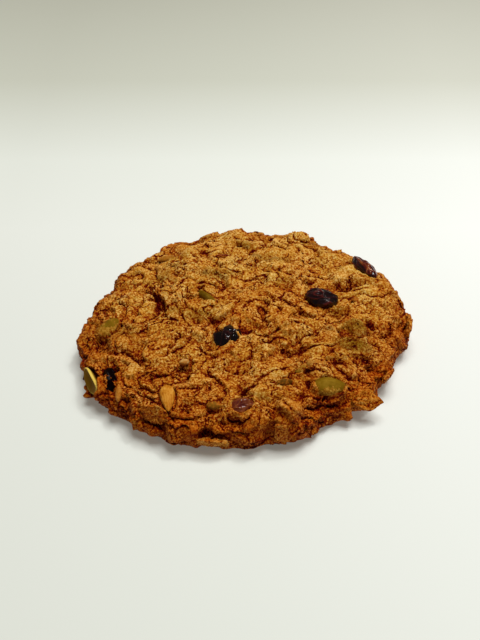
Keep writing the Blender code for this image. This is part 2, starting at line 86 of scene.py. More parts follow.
# noise is a sum of layers: grain in mm, strength, and a shift that sets it apart. A wander has
# layers of grain and reach in mm. A spread turns noise to shares: middle, swing, least, most.
CLUMP_COUNT = 330
CLUMP_SPACING = 4.6 * MM
CLUMP_STEP = 0.55 * MM
CLUMP_LEAN = 0.13
CLUMP_BLEND = 0.5 * MM
CLUMP_WANDER = ((2.1, 0.7), (0.7, 0.25))
GROOVE_DEPTH = 1.0 * MM
GROOVE_DEPTH_SHARES = (0.15, 1.0)
GROOVE_WIDTH = 0.7 * MM
GROOVE_NOISE = ((1.9, 1.0),)
GROOVE_BREAKS = (0.9, 3.0, 0.0, 1.3)
ROUGH_NOISE = ((2.6, 0.34),)

# depth, half width, then the points that a crack runs through, in mm
CRACKS = (
    (1.7, 0.62, ((-31.5, -26.5, 11), (-26, -27.4, 11.5), (-22, -28.6, 12), (-15.9, -30.2, 12))),
    (1.4, 0.62, ((-15.9, -30.2, 12), (-9.8, -28.9, 13))),
    (1.2, 0.60, ((1.4, -34.4, 12), (6.2, -33.0, 12), (12.1, -30.4, 12))),
    (1.9, 0.75, ((24.0, -20.4, 12), (28.8, -22.3, 11), (33.6, -20.9, 10.5))),
    (1.4, 0.80, ((37.0, -6.0, 11), (39.6, -9.0, 10.5), (42.2, -12.2, 9.5))),
    (1.6, 0.60, ((17.0, -25.4, 12), (18.4, -29.6, 11.5))),
    (1.5, 0.80, ((16.6, -35.2, 10.5), (21.0, -36.2, 9.5), (26.4, -35.0, 8))),
    (2.2, 1.30, ((-28.5, 11.0, 12.5), (-25.4, 3.2, 13), (-22.8, -1.8, 13.5))),
    (1.7, 0.80, ((-14.0, 7.4, 14), (-8.0, 2.6, 14.7))),
    (1.1, 0.50, ((-22.4, -7.4, 13.5), (-16.6, -10.0, 14), (-11.0, -12.0, 14.3))),
    (1.3, 0.70, ((-4.0, 39.4, 11), (2.6, 39.4, 11), (8.4, 36.6, 11.5))),
    (1.0, 0.50, ((1.0, 19.2, 14), (3.4, 20.6, 14), (5.6, 20.0, 14))),
    (1.2, 0.60, ((-8.6, -33.6, 11.5), (-10.6, -36.6, 11), (-9.0, -40.0, 10))),
    (1.0, 0.55, ((4.8, 2.6, 14.6), (9.6, 0.6, 14.5), (13.0, 1.4, 14.3))),
    (1.0, 0.55, ((-14.8, 22.0, 13), (-9.6, 19.6, 13.6), (-8.6, 14.4, 14))),
)
CRACK_WANDER = ((5.0, 1.5),)
CRACK_NOISE = ((3.0, 1.0, 1, 5, 9), (1.0, 0.8))
CRACK_WIDTHS = (0.65, 1.1, 0.25, 1.3)
CRACK_DEPTHS = (0.85, 1.2, 0.25, 1.0)

# point in mm, half length, half width, depth (a lump is negative), heading
HOLLOWS = (
    ((32.4, 12.8, 12.0), 5.2, 2.4, 2.4, 10),
    ((22.6, 4.6, 13.6), 6.6, 5.6, 1.1, 5),
    ((-4.8, -13.6, 14.3), 5.4, 4.6, 1.0, 30),
    ((-40.4, -13.0, 10.4), 3.4, 2.2, 1.6, 110),
    ((-33.0, -7.3, 12.0), 1.3, 1.1, 1.7, 0),
    ((-4.4, -44.4, 9.4), 3.4, 1.9, 1.8, 0),
    ((-8.0, -39.8, 10.8), 2.6, 1.4, 1.3, 0),
    ((-37.4, -24.6, 10.2), 1.9, 2.5, 1.9, 0),
    ((-36.2, -30.2, 9.0), 0.8, 2.6, 1.7, 0),
    ((22.5, -31.7, 10.5), 6.6, 4.4, 0.7, 8),
    ((33.1, 20.2, 11.2), 4.0, 3.2, -1.7, 20),
    ((12.8, -40.9, 9.6), 4.2, 3.4, -1.2, 0),
    ((-39.6, -19.2, 10.4), 4.6, 2.0, -1.3, -20),
    ((-17.0, 29.0, 12.4), 3.4, 3.0, -1.0, 0),
    ((-20.0, -35.4, 11.0), 6.6, 5.2, -0.9, 0),
    ((20.4, -24.8, 12.0), 4.0, 3.2, -0.9, 10),
    ((14.0, -8.0, 14.3), 7.0, 6.0, -0.7, 20),
)

# oat flakes under a skin of dough, large ones and then small ones between them. The shares
# are of a flake's half length, and the leans are in degrees.
FLAKE_COUNT = 34
FLAKE_LENGTH = 7.4 * MM
FLAKE_LENGTH_SHARES = (0.75, 1.15)
FLAKE_SLENDER = 0.76
FLAKE_LEANS = (8.0, 22.0)
FLAKE_LOWEST = 4.0 * MM
FLAKE_THICKNESS = 0.9 * MM
FLAKE_SPACING = 8.0 * MM
FLAKE_SINK = 0.15 * MM
FLAKE_SIDES = 8
FLAKE_UNEVEN = (0.8, 1.12)
TOPPING_CLEARANCE = 7.5 * MM
SMALL_FLAKE_COUNT = 120
SMALL_FLAKE_SPACING = 4.6 * MM
SMALL_FLAKE_LENGTH_SHARES = (0.5, 0.8)
SMALL_FLAKE_LEANS = (4.0, 14.0)
SMALL_FLAKE_LOWEST = 3.0 * MM
SMALL_FLAKE_TOPS = (-0.2 * MM, 0.3 * MM)
FLAKE_WANDER = ((2.2, 0.7),)
FLAKE_REACH = 1.4
FLAKE_EDGE = 0.12
FLAKE_LEAN_KEPT = 0.75
# height of a flake's waves, and how many radians of them lie along it and across it
FLAKE_WAVES = (0.10 * MM, 2.2, 3.0)
FLAKE_TONES = (-0.11, 0.13)
# the broken gap round a flake: its depth, and its place and width in reaches of the flake
MOAT_DEPTH = 0.22 * MM
MOAT_PLACE = 1.08
MOAT_WIDTH = 0.11
MOAT_NOISE = ((2.4, 1.0, 6, 2, 8),)
MOAT_BREAKS = (0.7, 4.0, 0.0, 1.0)

# the crumb: swells, and rounded lumps and grains with valleys between them, each kind with
# its size and height in mm and its steepness. Its forms are drawn together across the cookie.
NARROWED = (0.78, 1.0, 1.0)
CRUMB_WANDER = ((3.3, 1.2), (0.9, 0.25))
BROAD_SWELLS = ((9.0, 1.9),)
SMALL_SWELLS = ((4.5, 0.57),)
LUMPS = ((5.2, 0.42, 3.4), (2.3, 0.07, 2.4), (0.95, 0.08, 2.2))
LUMP_MEAN = 0.6
LUMP_SHIFT = np.array((31.0, 17.0, 23.0)) * MM
ROUGH_PATCHES = ((5.5, 2.2, 3, 3, 8), (2.4, 1.2, 8, 3, 3))
ROUGHNESS = (0.55, 1.0, 0.25, 1.3)
CREASES = ((4.2, 1.0, 4, 1, 7),)
CREASE_DEPTH = 0.16 * MM
CREASE_WIDTH = 0.12
CREASE_NOISE = ((2.6, 1.0, 2, 6, 3),)
CREASE_BREAKS = (-0.1, 3.0, 0.0, 1.0)

# ragged ledges where layers broke off: noise whose whole steps are ledges, height of a step
# and depth of the gap at its foot in mm, and where the gaps show
LEDGES = (
    ((7.0, 2.4, 9, 4, 2), 0.95, 0.26, (0.35, 1.0, 0.0, 1.0)),
    ((3.2, 1.7, 9, 4, 7), 0.12, 0.04, (0.2, -1.0, 0.0, 1.0)),
)
LEDGE_WANDER = ((2.3, 0.6), (0.8, 0.22))
LEDGE_NOISE = ((4.1, 3.2, 7, 1, 3),)
# shares of a step: its middle, the width of its edge, and the place and width of its foot
LEDGE_MIDDLE = 0.5
LEDGE_EDGE = 0.14
LEDGE_FOOT = 0.402
LEDGE_FOOT_WIDTH = 0.12
# how far the rim is ragged, in layers and then more towards the front, and from what height
RIM_NOISE = ((3.4, 1.3, 5, 9, 1), (1.5, 0.65))
RIM_FRONT = (0.6, -0.6, 0.25, 1.1)
RIM_FOOT = 1.5 * MM
# least share of a crag's reach, down at the base
CRAG_LEAST = 0.25
DOUGH_CUTS = 125
BASE_SHARE_OF_MESH = 0.16

# toppings that sit in the crust: point in mm, length, width, height, heading, lean, rise
CRANBERRIES = (
    ("cranberry_1", (22.7, 4.7, 13.6), 9.8, 8.0, 4.6, 8, 0, -0.8),
    ("cranberry_2", (-4.8, -14.3, 14.3), 8.4, 8.0, 4.6, 65, 0, -1.3),
    ("cranberry_3", (36.8, 22.8, 10.6), 12.6, 5.0, 4.4, -66, 0, 0.4),
    ("cranberry_4", (-37.6, -27.2, 9.7), 8.8, 4.2, 3.6, -80, 0, -1.8),
    ("cranberry_5", (-0.6, -39.6, 10.7), 6.6, 5.2, 3.6, 20, 0, -0.2),
)
PUMPKIN_SEEDS = (
    ("pumpkin_seed_1", (22.5, -31.7, 10.5), 8.8, 6.8, 3.4, 5, 4, 0.0),
    ("pumpkin_seed_2", (-38.8, -6.6, 10.9), 8.0, 6.0, 2.4, 60, 6, 0.1),
    ("pumpkin_seed_3", (31.5, -9.5, 11.9), 7.6, 5.8, 2.4, 100, 6, 0.1),
    ("pumpkin_seed_4", (30.6, -16.2, 11.5), 9.6, 5.6, 2.4, -4, 8, 0.0),
    ("pumpkin_seed_6", (-11.0, 3.0, 14.4), 7.6, 3.0, 1.6, -46, 68, -0.3),
)
SPLIT_SEED = ("pumpkin_seed_5", (-42.5, -26.2, 7.0), 9.6, 5.2, 3.2, 98, 0, 0.8)
SUNFLOWER_SEED = ("sunflower_seed_1", (-20.2, -37.2, 10.7), 9.6, 5.4, 2.4, -84, 0, 0.7)
TOPPINGS = CRANBERRIES + PUMPKIN_SEEDS + (SPLIT_SEED, SUNFLOWER_SEED)
# point in mm, half length, half width, half height, heading, then its colour
SMALL_SEEDS = (
    ((15.2, -26.8, 12.3), 1.9, 1.3, 1.0, 30, (150, 124, 34)),
    ((-24.1, 27.2, 11.2), 2.6, 1.6, 0.9, 20, (166, 116, 34)),
    ((9.2, 22.9, 13.4), 2.2, 1.5, 0.8, 60, (172, 136, 58)),
    ((-8.0, -39.5, 10.6), 2.0, 1.2, 1.0, 0, (142, 100, 24)),
    ((10.5, -31.6, 11.6), 2.4, 1.1, 0.9, 15, (112, 76, 18)),
    ((19.9, -24.5, 12.9), 3.0, 2.2, 1.1, 0, (196, 146, 62)),
    ((-16.1, -24.6, 12.9), 1.4, 1.1, 0.8, 0, (216, 182, 110)),
    ((-33.8, -33.0, 9.0), 2.6, 0.9, 0.8, 75, (206, 146, 58)),
    ((-18.6, -44.8, 4.8), 1.5, 1.4, 1.0, 0, (190, 112, 22)),
    ((9.1, -43.0, 9.2), 1.7, 1.5, 1.2, 0, (160, 88, 24)),
    ((-6.7, 25.5, 13.1), 2.4, 1.0, 0.7, 0, (110, 20, 12)),
    ((-22.8, 5.0, 13.4), 1.3, 1.0, 0.8, 0, (70, 22, 12)),
    ((32.7, 4.7, 12.2), 1.4, 1.0, 0.7, 20, (96, 22, 12)),
)
# how the crust meets a topping. The shares are of the topping's half size.
POCKET_REACH = 1.6
POCKET_NOISE = ((1.6, 1.0, 3, 8, 5),)
# crumbs banked along a seed on its edge: height, unevenness, width, and shares where they end
WEDGED = ("pumpkin_seed_6",)
BANK = (0.8 * MM, 0.4 * MM, 1.7 * MM)
BANK_ENDS = (1.15, 0.3)
# how thick, in mm, the coat of crumbs on a crusted seed is. It has holes, and thickens from a
# share of the seed outwards.
COATS = {"pumpkin_seed_2": -0.22, "pumpkin_seed_3": -0.12, "pumpkin_seed_4": -0.15, "small_seed": -0.15}
COAT_UNEVEN = 0.55 * MM
COAT_EDGE = (0.6, 0.4 * MM)
COAT_ENDS = (1.15, 0.25)
# the lip round a topping: rise over its skin, unevenness, where it starts, how far it
# reaches, and how fully the crust follows it where it climbs and where it drops
LIP_RISE = 0.15 * MM
LIP_UNEVEN = 0.6 * MM
LIP_START = 0.08
LIP_REACH = 0.2
LIP_CLIMB = (0.8, 1.0, 0.4, 1.0)
LIP_DROP = 0.6
# where the crust dives under a topping, over what width, and how deep
DIVE_START = 0.02
DIVE_WIDTH = 0.08
DIVE_DEPTH = 0.4 * MM
DIVE_SHARE = {"pumpkin_seed_5": 1.6}
USUAL_DIVE_SHARE = 0.6
# corners of the openings that a berry shows in, in mm from its middle
OPENINGS = {
    "cranberry_2": (((0.3, 3.8), (-3.7, 0.4), (-1.9, -4.3), (3.7, -2.0)),),
    "cranberry_4": (
        ((2.6, 4.5), (-0.9, 4.5), (-2.4, 2.4), (-1.6, 0.6), (1.6, 0.4)),
        ((1.9, -0.5), (0.5, -0.3), (0.4, -3.2), (1.2, -4.4), (1.9, -2.8)),
    ),
}
# an opening's lip: the length that its reach and its unevenness are shares of
OPENING_SCALE = 4 * MM
OPENING_REACH = 0.4
OPENING_UNEVEN = 0.12
# how far up each topping the crust reaches, as a share of its half height
HUGS = {
    "cranberry_1": 0.0, "cranberry_2": 0.4, "cranberry_3": 0.1, "cranberry_4": 0.5,
    "cranberry_5": 0.4, "pumpkin_seed_1": 0.5, "pumpkin_seed_5": 0.2, "sunflower_seed_1": 0.0,
}


def outline_radius(bearing):
    """Radius of the outline at bearings in radians."""
    radius = np.full_like(bearing, MEAN_RADIUS)
    for times, swell, crest in SWELLS:
        radius += swell * np.cos(times * (bearing - math.radians(crest)))
    return radius


def crag_reach(bearing):
    """How far the rim's crags reach out at bearings in radians."""
    reach = np.zeros_like(bearing)
    for middle, out, half_width in RIM_CRAGS:
        turn = np.degrees(bearing) - middle
        turn = (turn + 180.0) % 360.0 - 180.0
        reach += out * np.exp(-(turn / half_width) ** 2)
    return reach


def profile():
    """Section from the middle of the top, over the rim, to the middle of the base."""
    steps = PROFILE_STEPS
    lift = CENTRE_HEIGHT - SHOULDER_HEIGHT
    points = []
    for step in range(steps + 1):
        share = step / steps
        points.append((SHOULDER_SHARE * share, SHOULDER_HEIGHT + lift * (1 - share ** 2)))
    for step in range(1, steps + 1):
        turn = math.pi / 2 * step / steps
        across = SHOULDER_SHARE + (1 - SHOULDER_SHARE) * math.sin(turn)
        points.append((across, BELLY_HEIGHT + (SHOULDER_HEIGHT - BELLY_HEIGHT) * math.cos(turn)))
    for step in range(1, steps + 1):
        turn = math.pi / 2 * step / steps
        across = BASE_SHARE + (1 - BASE_SHARE) * math.cos(turn)
        points.append((across, BELLY_HEIGHT * (1 - math.sin(turn))))
    for step in range(1, steps + 1):
        points.append((BASE_SHARE * (1 - step / steps), 0.0))
    return np.array(points)


def press(directions, base_share=1.0):
    """Press a unit ball's points into the cookie. The base gets its share of the area."""
    section = profile()
    across = section[:, 0] * MEAN_RADIUS
    steps = np.hypot(np.diff(across), np.diff(section[:, 1])) * (across[1:] + across[:-1])
    steps[-PROFILE_STEPS:] *= base_share
    area = np.concatenate(((0.0,), np.cumsum(steps)))
    share = (1 - directions[:, 2]) / 2 * area[-1]
    bearing = np.arctan2(directions[:, 1], directions[:, 0])
    radius = outline_radius(bearing) * np.interp(share, area, section[:, 0])
    height = np.interp(share, area, section[:, 1])
    return np.stack((radius * np.cos(bearing), radius * np.sin(bearing), height), axis=1)


def pressed_ball(cuts, base_share=1.0):
    """A closed mesh in the cookie's smooth form, from a subdivided cube."""
    bm = bmesh.new()
    bmesh.ops.create_cube(bm, size=2.0)
    bmesh.ops.subdivide_edges(bm, edges=bm.edges[:], cuts=cuts, use_grid_fill=True)
    cube = np.array([vertex.co for vertex in bm.verts])
    ball = np.tan(cube * math.pi / 4)
    ball /= np.linalg.norm(ball, axis=1)[:, None]
    for vertex, place in zip(bm.verts, press(ball, base_share)):
        vertex.co = place
    bmesh.ops.triangulate(bm, faces=bm.faces[:])
    bm.normal_update()
    return bm


SPREAD_TRIES = 60


def spread(rng, count, spacing):
    """Random points on the smooth form, no two nearer than the spacing."""
    kept = []
    for _ in range(count * SPREAD_TRIES):
        height = rng.uniform(-1, 1)
        turn = rng.uniform(0, 2 * math.pi)
        flat = math.sqrt(1 - height * height)
        direction = np.array([[flat * math.cos(turn), flat * math.sin(turn), height]])
        place = Vector(press(direction)[0])
        if all((place - other).length > spacing for other in kept):
            kept.append(place)
        if len(kept) == count:
            break
    return kept


def tree_of(points):
    """A search tree of points."""
    tree = kdtree.KDTree(len(points))
    for index, point in enumerate(points):
        tree.insert(point, index)
    tree.balance()
    return tree


class Crust:
    """Points and normals of a crust, to place things on it."""

    def __init__(self, points, normals):
        self.points = [Vector(point) for point in points]
        self.normals = [Vector(normal) for normal in normals]
        self.tree = tree_of(self.points)

    def at(self, point):
        """Crust point and normal next to a point given in mm."""
        place, index, _ = self.tree.find(Vector(point) * MM)
        return place, self.normals[index]

    def frame(self, point, heading, lean=0.0, rise=0.0):
        """Frame on the crust: Z out of it, X along the heading in degrees."""
        place, up = self.at(point)
        turn = math.radians(heading)
        ahead = Vector((math.cos(turn), math.sin(turn), 0.0))
        side = up.cross(ahead).normalized()
        ahead = side.cross(up)
        axes = Matrix((ahead, side, up)).transposed().to_4x4()
        return Matrix.Translation(place + up * rise) @ axes @ Matrix.Rotation(math.radians(lean), 4, "X")


def noises(places, layers):
    """Noise at each place, summed over layers."""
    total = np.zeros(len(places))
    for grain, strength, *shift in layers:
        shift = Vector(shift or (0, 0, 0))
        total += np.array([noise.noise(Vector(place) / (grain * MM) + shift) for place in places]) * strength
    return total


def wander(places, layers):
    """How far each place strays, summed over layers."""
    total = np.zeros((len(places), 3))
    for grain, reach in layers:
        total += np.array([noise.noise_vector(Vector(place) / (grain * MM)) for place in places]) * reach * MM
    return total


def varied(values, middle, swing, least, most):
    """Noise turned to shares about a middle, between the least and the most."""
    return np.clip(middle + swing * values, least, most)


def drawn(values, others, share):
    """Values drawn to others by a share."""
    return values + (others - values) * share


def falling(values, end, width):
    """1 below a value's end, 0 above it, over a width."""
    return np.clip((end - values) / width, 0, 1)


def clump_relief(places):
    """Height of the clumps: steps and leans of each clump, with grooves between."""
    rng = random.Random(SEED)
    seeds = spread(rng, CLUMP_COUNT, CLUMP_SPACING)
    steps = [rng.uniform(-1, 1) * CLUMP_STEP for _ in seeds]
    leans = [Vector((rng.gauss(0, 1), rng.gauss(0, 1), rng.gauss(0, 1))) * CLUMP_LEAN for _ in seeds]
    depths = [rng.uniform(*GROOVE_DEPTH_SHARES) for _ in seeds]
    tree = tree_of(seeds)
    strayed = places + wander(places, CLUMP_WANDER)
    broken = varied(noises(places, GROOVE_NOISE), *GROOVE_BREAKS)
    relief = np.empty(len(places))
    for row, place in enumerate(places):
        near = tree.find_n(strayed[row], 3)
        first = near[0][2]
        total = 0.0
        height = 0.0
        for seed, index, distance in near:
            weight = math.exp((first - distance) / CLUMP_BLEND)
            total += weight
            height += weight * (steps[index] + leans[index].dot(Vector(place) - seed))
        pinch = math.exp(-((near[1][2] - first) / GROOVE_WIDTH) ** 2)
        depth = depths[near[0][1]] * depths[near[1][1]]
        relief[row] = height / total - GROOVE_DEPTH * depth * pinch * broken[row]
    return relief


def distance_to_run(places, points):
    """Distance of every place to a run of straight stretches."""
    nearest = np.full(len(places), 1.0)
    for start, end in zip(points[:-1], points[1:]):
        along = end - start
        share = np.clip((places - start) @ along / (along @ along), 0, 1)
        gap = places - (start + share[:, None] * along)
        nearest = np.minimum(nearest, np.linalg.norm(gap, axis=1))
    return nearest


def crack_relief(places, strayed, crust):
    """Depth of the cracks, at places that stray off the true ones, narrow and wide by turns."""
    relief = np.zeros(len(places))
    uneven = noises(places, CRACK_NOISE)
    for depth, half_width, points in CRACKS:
        run = np.array([crust.at(point)[0] for point in points])
        width = half_width * MM * varied(uneven, *CRACK_WIDTHS)
        gap = distance_to_run(strayed, run) / width
        relief -= depth * MM * np.exp(-gap ** 2) * varied(uneven, *CRACK_DEPTHS)
    return relief


def in_frame(places, axes):
    """Places in the coordinates of a frame."""
    return (places - np.array(axes.translation)) @ np.array(axes.to_3x3())


def near_to(places, middle, reach):
    """Rows of the places within reach of a middle."""
    return np.nonzero(np.linalg.norm(places - np.array(middle), axis=1) < reach)[0]


def hollow_relief(places, crust):
    """Depth of the hollows and height of the lumps."""
    relief = np.zeros(len(places))
    for point, half_length, half_width, depth, heading in HOLLOWS:
        local = in_frame(places, crust.frame(point, heading))
        size = np.array((half_length, half_width, max(half_length, half_width))) * MM
        reach = np.linalg.norm(local / size, axis=1)
        relief -= depth * MM * np.exp(-reach ** 4)
    return relief


def scattered_flakes():
    """Place, heading, lean, half length and height of the flakes under the crust."""
    taken = [Vector(entry[1]) * MM for entry in TOPPINGS]
    rng = random.Random(SEED + 1)
    flakes = []
    for place in spread(rng, FLAKE_COUNT * 2, FLAKE_SPACING):
        heading = rng.uniform(0, 360)
        lean = rng.choice((-1, 1)) * rng.uniform(*FLAKE_LEANS)
        half = FLAKE_LENGTH / 2 * rng.uniform(*FLAKE_LENGTH_SHARES)
        clear = min((place - other).length for other in taken) > TOPPING_CLEARANCE
        if place.z > FLAKE_LOWEST and clear and len(flakes) < FLAKE_COUNT:
            # the solid draws its uneven sides here, so these draws keep the flakes in its places
            for _ in range(FLAKE_SIDES):
                rng.uniform(*FLAKE_UNEVEN)
            flakes.append((place, heading, lean, half, FLAKE_THICKNESS / 2 - FLAKE_SINK))
    rng = random.Random(SEED + 3)
    for place in spread(rng, SMALL_FLAKE_COUNT, SMALL_FLAKE_SPACING):
        lean = rng.choice((-1, 1)) * rng.uniform(*SMALL_FLAKE_LEANS)
        half = FLAKE_LENGTH / 2 * rng.uniform(*SMALL_FLAKE_LENGTH_SHARES)
        if place.z > SMALL_FLAKE_LOWEST:
            flakes.append((place, rng.uniform(0, 360), lean, half, rng.uniform(*SMALL_FLAKE_TOPS)))
    return flakes, rng


def lay_flakes(places, wandered, relief, crust):
    """Raise the crust over the oat flakes under it.

    Returns how smooth that makes it, the broken gaps round the flakes, and their tones.
    """
    smooth = np.zeros(len(places))
    moats = np.zeros(len(places))
    tones = np.zeros(len(places))
    broken = varied(noises(wandered, MOAT_NOISE), *MOAT_BREAKS) * MOAT_DEPTH
    flakes, rng = scattered_flakes()
    wave, along, over = FLAKE_WAVES
    for place, heading, lean, half, top in flakes:
        near = near_to(places, place, half * FLAKE_REACH)
        local = in_frame(wandered[near], crust.frame(place / MM, heading))
        reach = np.hypot(local[:, 0] / half, local[:, 1] / (half * FLAKE_SLENDER))
        edge = falling(reach, 1.0, FLAKE_EDGE)
        slope = math.tan(math.radians(lean * FLAKE_LEAN_KEPT))
        height = top + slope * local[:, 1]
        height += wave * np.sin(local[:, 0] / half * along) * np.cos(local[:, 1] / half * over)
        higher = (height > relief[near]) * edge
        relief[near] = drawn(relief[near], height, higher)
        smooth[near] = np.maximum(smooth[near], higher)
        tones[near] = drawn(tones[near], rng.uniform(*FLAKE_TONES), higher)
        moat = np.exp(-((reach - MOAT_PLACE) / MOAT_WIDTH) ** 2) * broken[near]
        moats[near] = np.maximum(moats[near] * (1 - edge), moat)
    return smooth, moats, tones


def lumpy(places, size, steepness):
    """Rounded lumps about 0, with sharp valleys between them."""
    return np.minimum(np.abs(noises(places, ((size, 1.0),))) * steepness, 1.0) - LUMP_MEAN


def crumb_relief(places):
    """Lumps, nodules and grains of the crumb, the broken creases through it, and how rough it is."""
    rough = varied(noises(places, ROUGH_PATCHES), *ROUGHNESS)
    narrow = places * NARROWED
    spots = narrow + wander(places, CRUMB_WANDER)
    relief = (noises(narrow, BROAD_SWELLS) + noises(spots, SMALL_SWELLS)) * MM
    for turn, (size, height, steepness) in enumerate(LUMPS):
        spots += LUMP_SHIFT
        relief += lumpy(spots, size, steepness) * height * MM * (rough if turn else 1.0)
    creases = noises(spots, CREASES)
    broken = varied(noises(places, CREASE_NOISE), *CREASE_BREAKS)
    gaps = np.exp(-np.abs(creases) / CREASE_WIDTH) * broken * CREASE_DEPTH
    return relief, gaps, rough, creases


def ledge_relief(places):
    """Ragged ledges, where one layer of the crumb broke off over the next.

    Returns their relief, the gaps at their feet, and the level that steps from each to the next.
    """
    relief = np.zeros(len(places))
    gaps = np.zeros(len(places))
    strayed = places * NARROWED + wander(places, LEDGE_WANDER)
    patch = noises(places, LEDGE_NOISE)
    levels = [noises(strayed, (layer,)) for layer, *_ in LEDGES]
    for level, (_, height, depth, shares) in zip(levels, LEDGES):
        part = level % 1
        rise = np.clip((part - LEDGE_MIDDLE) / LEDGE_EDGE + 0.5, 0, 1)
        relief += (rise - part) * height * MM
        foot = np.exp(-((part - LEDGE_FOOT) / LEDGE_FOOT_WIDTH) ** 2)
        gaps += foot * varied(patch, *shares) * depth * MM
    return relief, gaps, levels[0]


def outside_of(local, loops):
    """How far places lie outside shapes with straight sides, negative inside."""
    nearest = np.full(len(local), np.inf)
    for corners in loops:
        far = np.full(len(local), -np.inf)
        for start, end in zip(corners, corners[1:] + corners[:1]):
            along = np.array(end) - np.array(start)
            out = np.array((along[1], -along[0])) / np.linalg.norm(along)
            far = np.maximum(far, (local[:, :2] - np.array(start) * MM) @ out)
        nearest = np.minimum(nearest, far)
    return nearest


def pocket_relief(places, relief, crust):
    """Fit the crust to each topping. Returns where a topping covers it.

    Round a berry or a bare seed the crust climbs its side unevenly and stays under its
    skin. A crusted seed and the small seeds keep a coat of crumbs.
    """
    covered = np.zeros(len(places))
    uneven = noises(places, POCKET_NOISE)
    small = [
        ("small_seed", point, *(2 * half for half in halves), heading, 0, 0)
        for point, *halves, heading, _ in SMALL_SEEDS]
    for name, point, length, width, height, heading, lean, rise in (*TOPPINGS, *small):
        axes = crust.frame(point, heading, 0 if name in WEDGED else lean, rise * MM)
        half = np.array((length, width, height)) / 2 * MM
        near = near_to(places, axes.translation, half[0] * POCKET_REACH)
        local = in_frame(places[near], axes)
        patch = uneven[near]
        across = np.hypot(local[:, 0] / half[0], local[:, 1] / half[1])
        dome = rise * MM + half[2] * np.sqrt(np.clip(1 - across ** 2, 0, 1))
        if name in WEDGED:
            high, patchy, wide = BANK
            bank = (high + patch * patchy) * np.exp(-(local[:, 1] / wide) ** 2)
            ends = falling(np.abs(local[:, 0]) / half[0], *BANK_ENDS)
            relief[near] = drawn(relief[near], np.maximum(relief[near], bank), ends)
        elif name in COATS:
            start, thicker = COAT_EDGE
            coat = COATS[name] * MM + patch * COAT_UNEVEN + np.clip(across - start, 0, 1) * thicker
            relief[near] = drawn(relief[near], dome + coat, falling(across, *COAT_ENDS))
        else:
            top = rise * MM + half[2] * HUGS[name]
            beyond = across - math.sqrt(1 - HUGS[name] ** 2)
            reach = LIP_REACH
            pull = np.where(top > relief[near], varied(patch, *LIP_CLIMB), LIP_DROP)
            if name in OPENINGS:
                flat = in_frame(places[near], crust.frame(point, 0))
                beyond = outside_of(flat, OPENINGS[name]) / OPENING_SCALE + patch * OPENING_UNEVEN
                reach = OPENING_REACH
                pull = 1.0
            lip = np.maximum(top, dome + LIP_RISE) + patch * LIP_UNEVEN
            beside = np.exp(-(np.maximum(beyond - LIP_START, 0) / reach) ** 2)
            lipped = drawn(relief[near], lip, beside * pull)
            inside = falling(beyond, DIVE_START, DIVE_WIDTH)
            depth = half[2] * DIVE_SHARE.get(name, USUAL_DIVE_SHARE) + DIVE_DEPTH
            relief[near] = drawn(lipped, np.minimum(lipped, dome - depth), inside)
            covered[near] = np.maximum(covered[near], inside)
    return covered


class Links:
    """Which points of a mesh are next to each other."""

    def __init__(self, bm):
        self.pairs = np.array([(edge.verts[0].index, edge.verts[1].index) for edge in bm.edges])
        self.counts = np.bincount(self.pairs.ravel())

    def mean(self, values, times=1):
        """The mean of a value over the points next to each, taken over again."""
        starts, ends = self.pairs.T
        for _ in range(times):
            total = np.bincount(starts, values[ends], len(values))
            total += np.bincount(ends, values[starts], len(values))
            values = total / self.counts
        return values

    def steepest(self, values, places):
        """The most that a value changes over a mm towards the points next to each."""
        starts, ends = self.pairs.T
        climbs = np.abs(values[starts] - values[ends])
        climbs /= np.linalg.norm(places[starts] - places[ends], axis=1) / MM
        slope = np.zeros(len(values))
        np.maximum.at(slope, starts, climbs)
        np.maximum.at(slope, ends, climbs)
        return slope


def set_attributes(piece, **values):
    """Store numbers a point, under the names that materials read."""
    for name, numbers in values.items():
        layer = piece.data.attributes.new(name, "FLOAT", "POINT")
        layer.data.foreach_set("value", np.asarray(numbers, dtype=np.float32))


def finished(name, bm, material):
    """A bmesh as an object at the origin, shaded smooth, in one material."""
    mesh = bpy.data.meshes.new(name)
    bm.to_mesh(mesh)
    bm.free()
    mesh.transform(Matrix.Translation(-MIDDLE))
    mesh.shade_smooth()
    mesh.materials.append(material)
    thing = bpy.data.objects.new(name, mesh)
    bpy.context.scene.collection.objects.link(thing)
    return thing


def on_cookie(piece, slot, *nodes):
    """The piece rides with the cookie in place of its nodes, which are hidden. Its slot is not used."""
    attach(piece, "root")
    if nodes:
        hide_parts(*nodes)


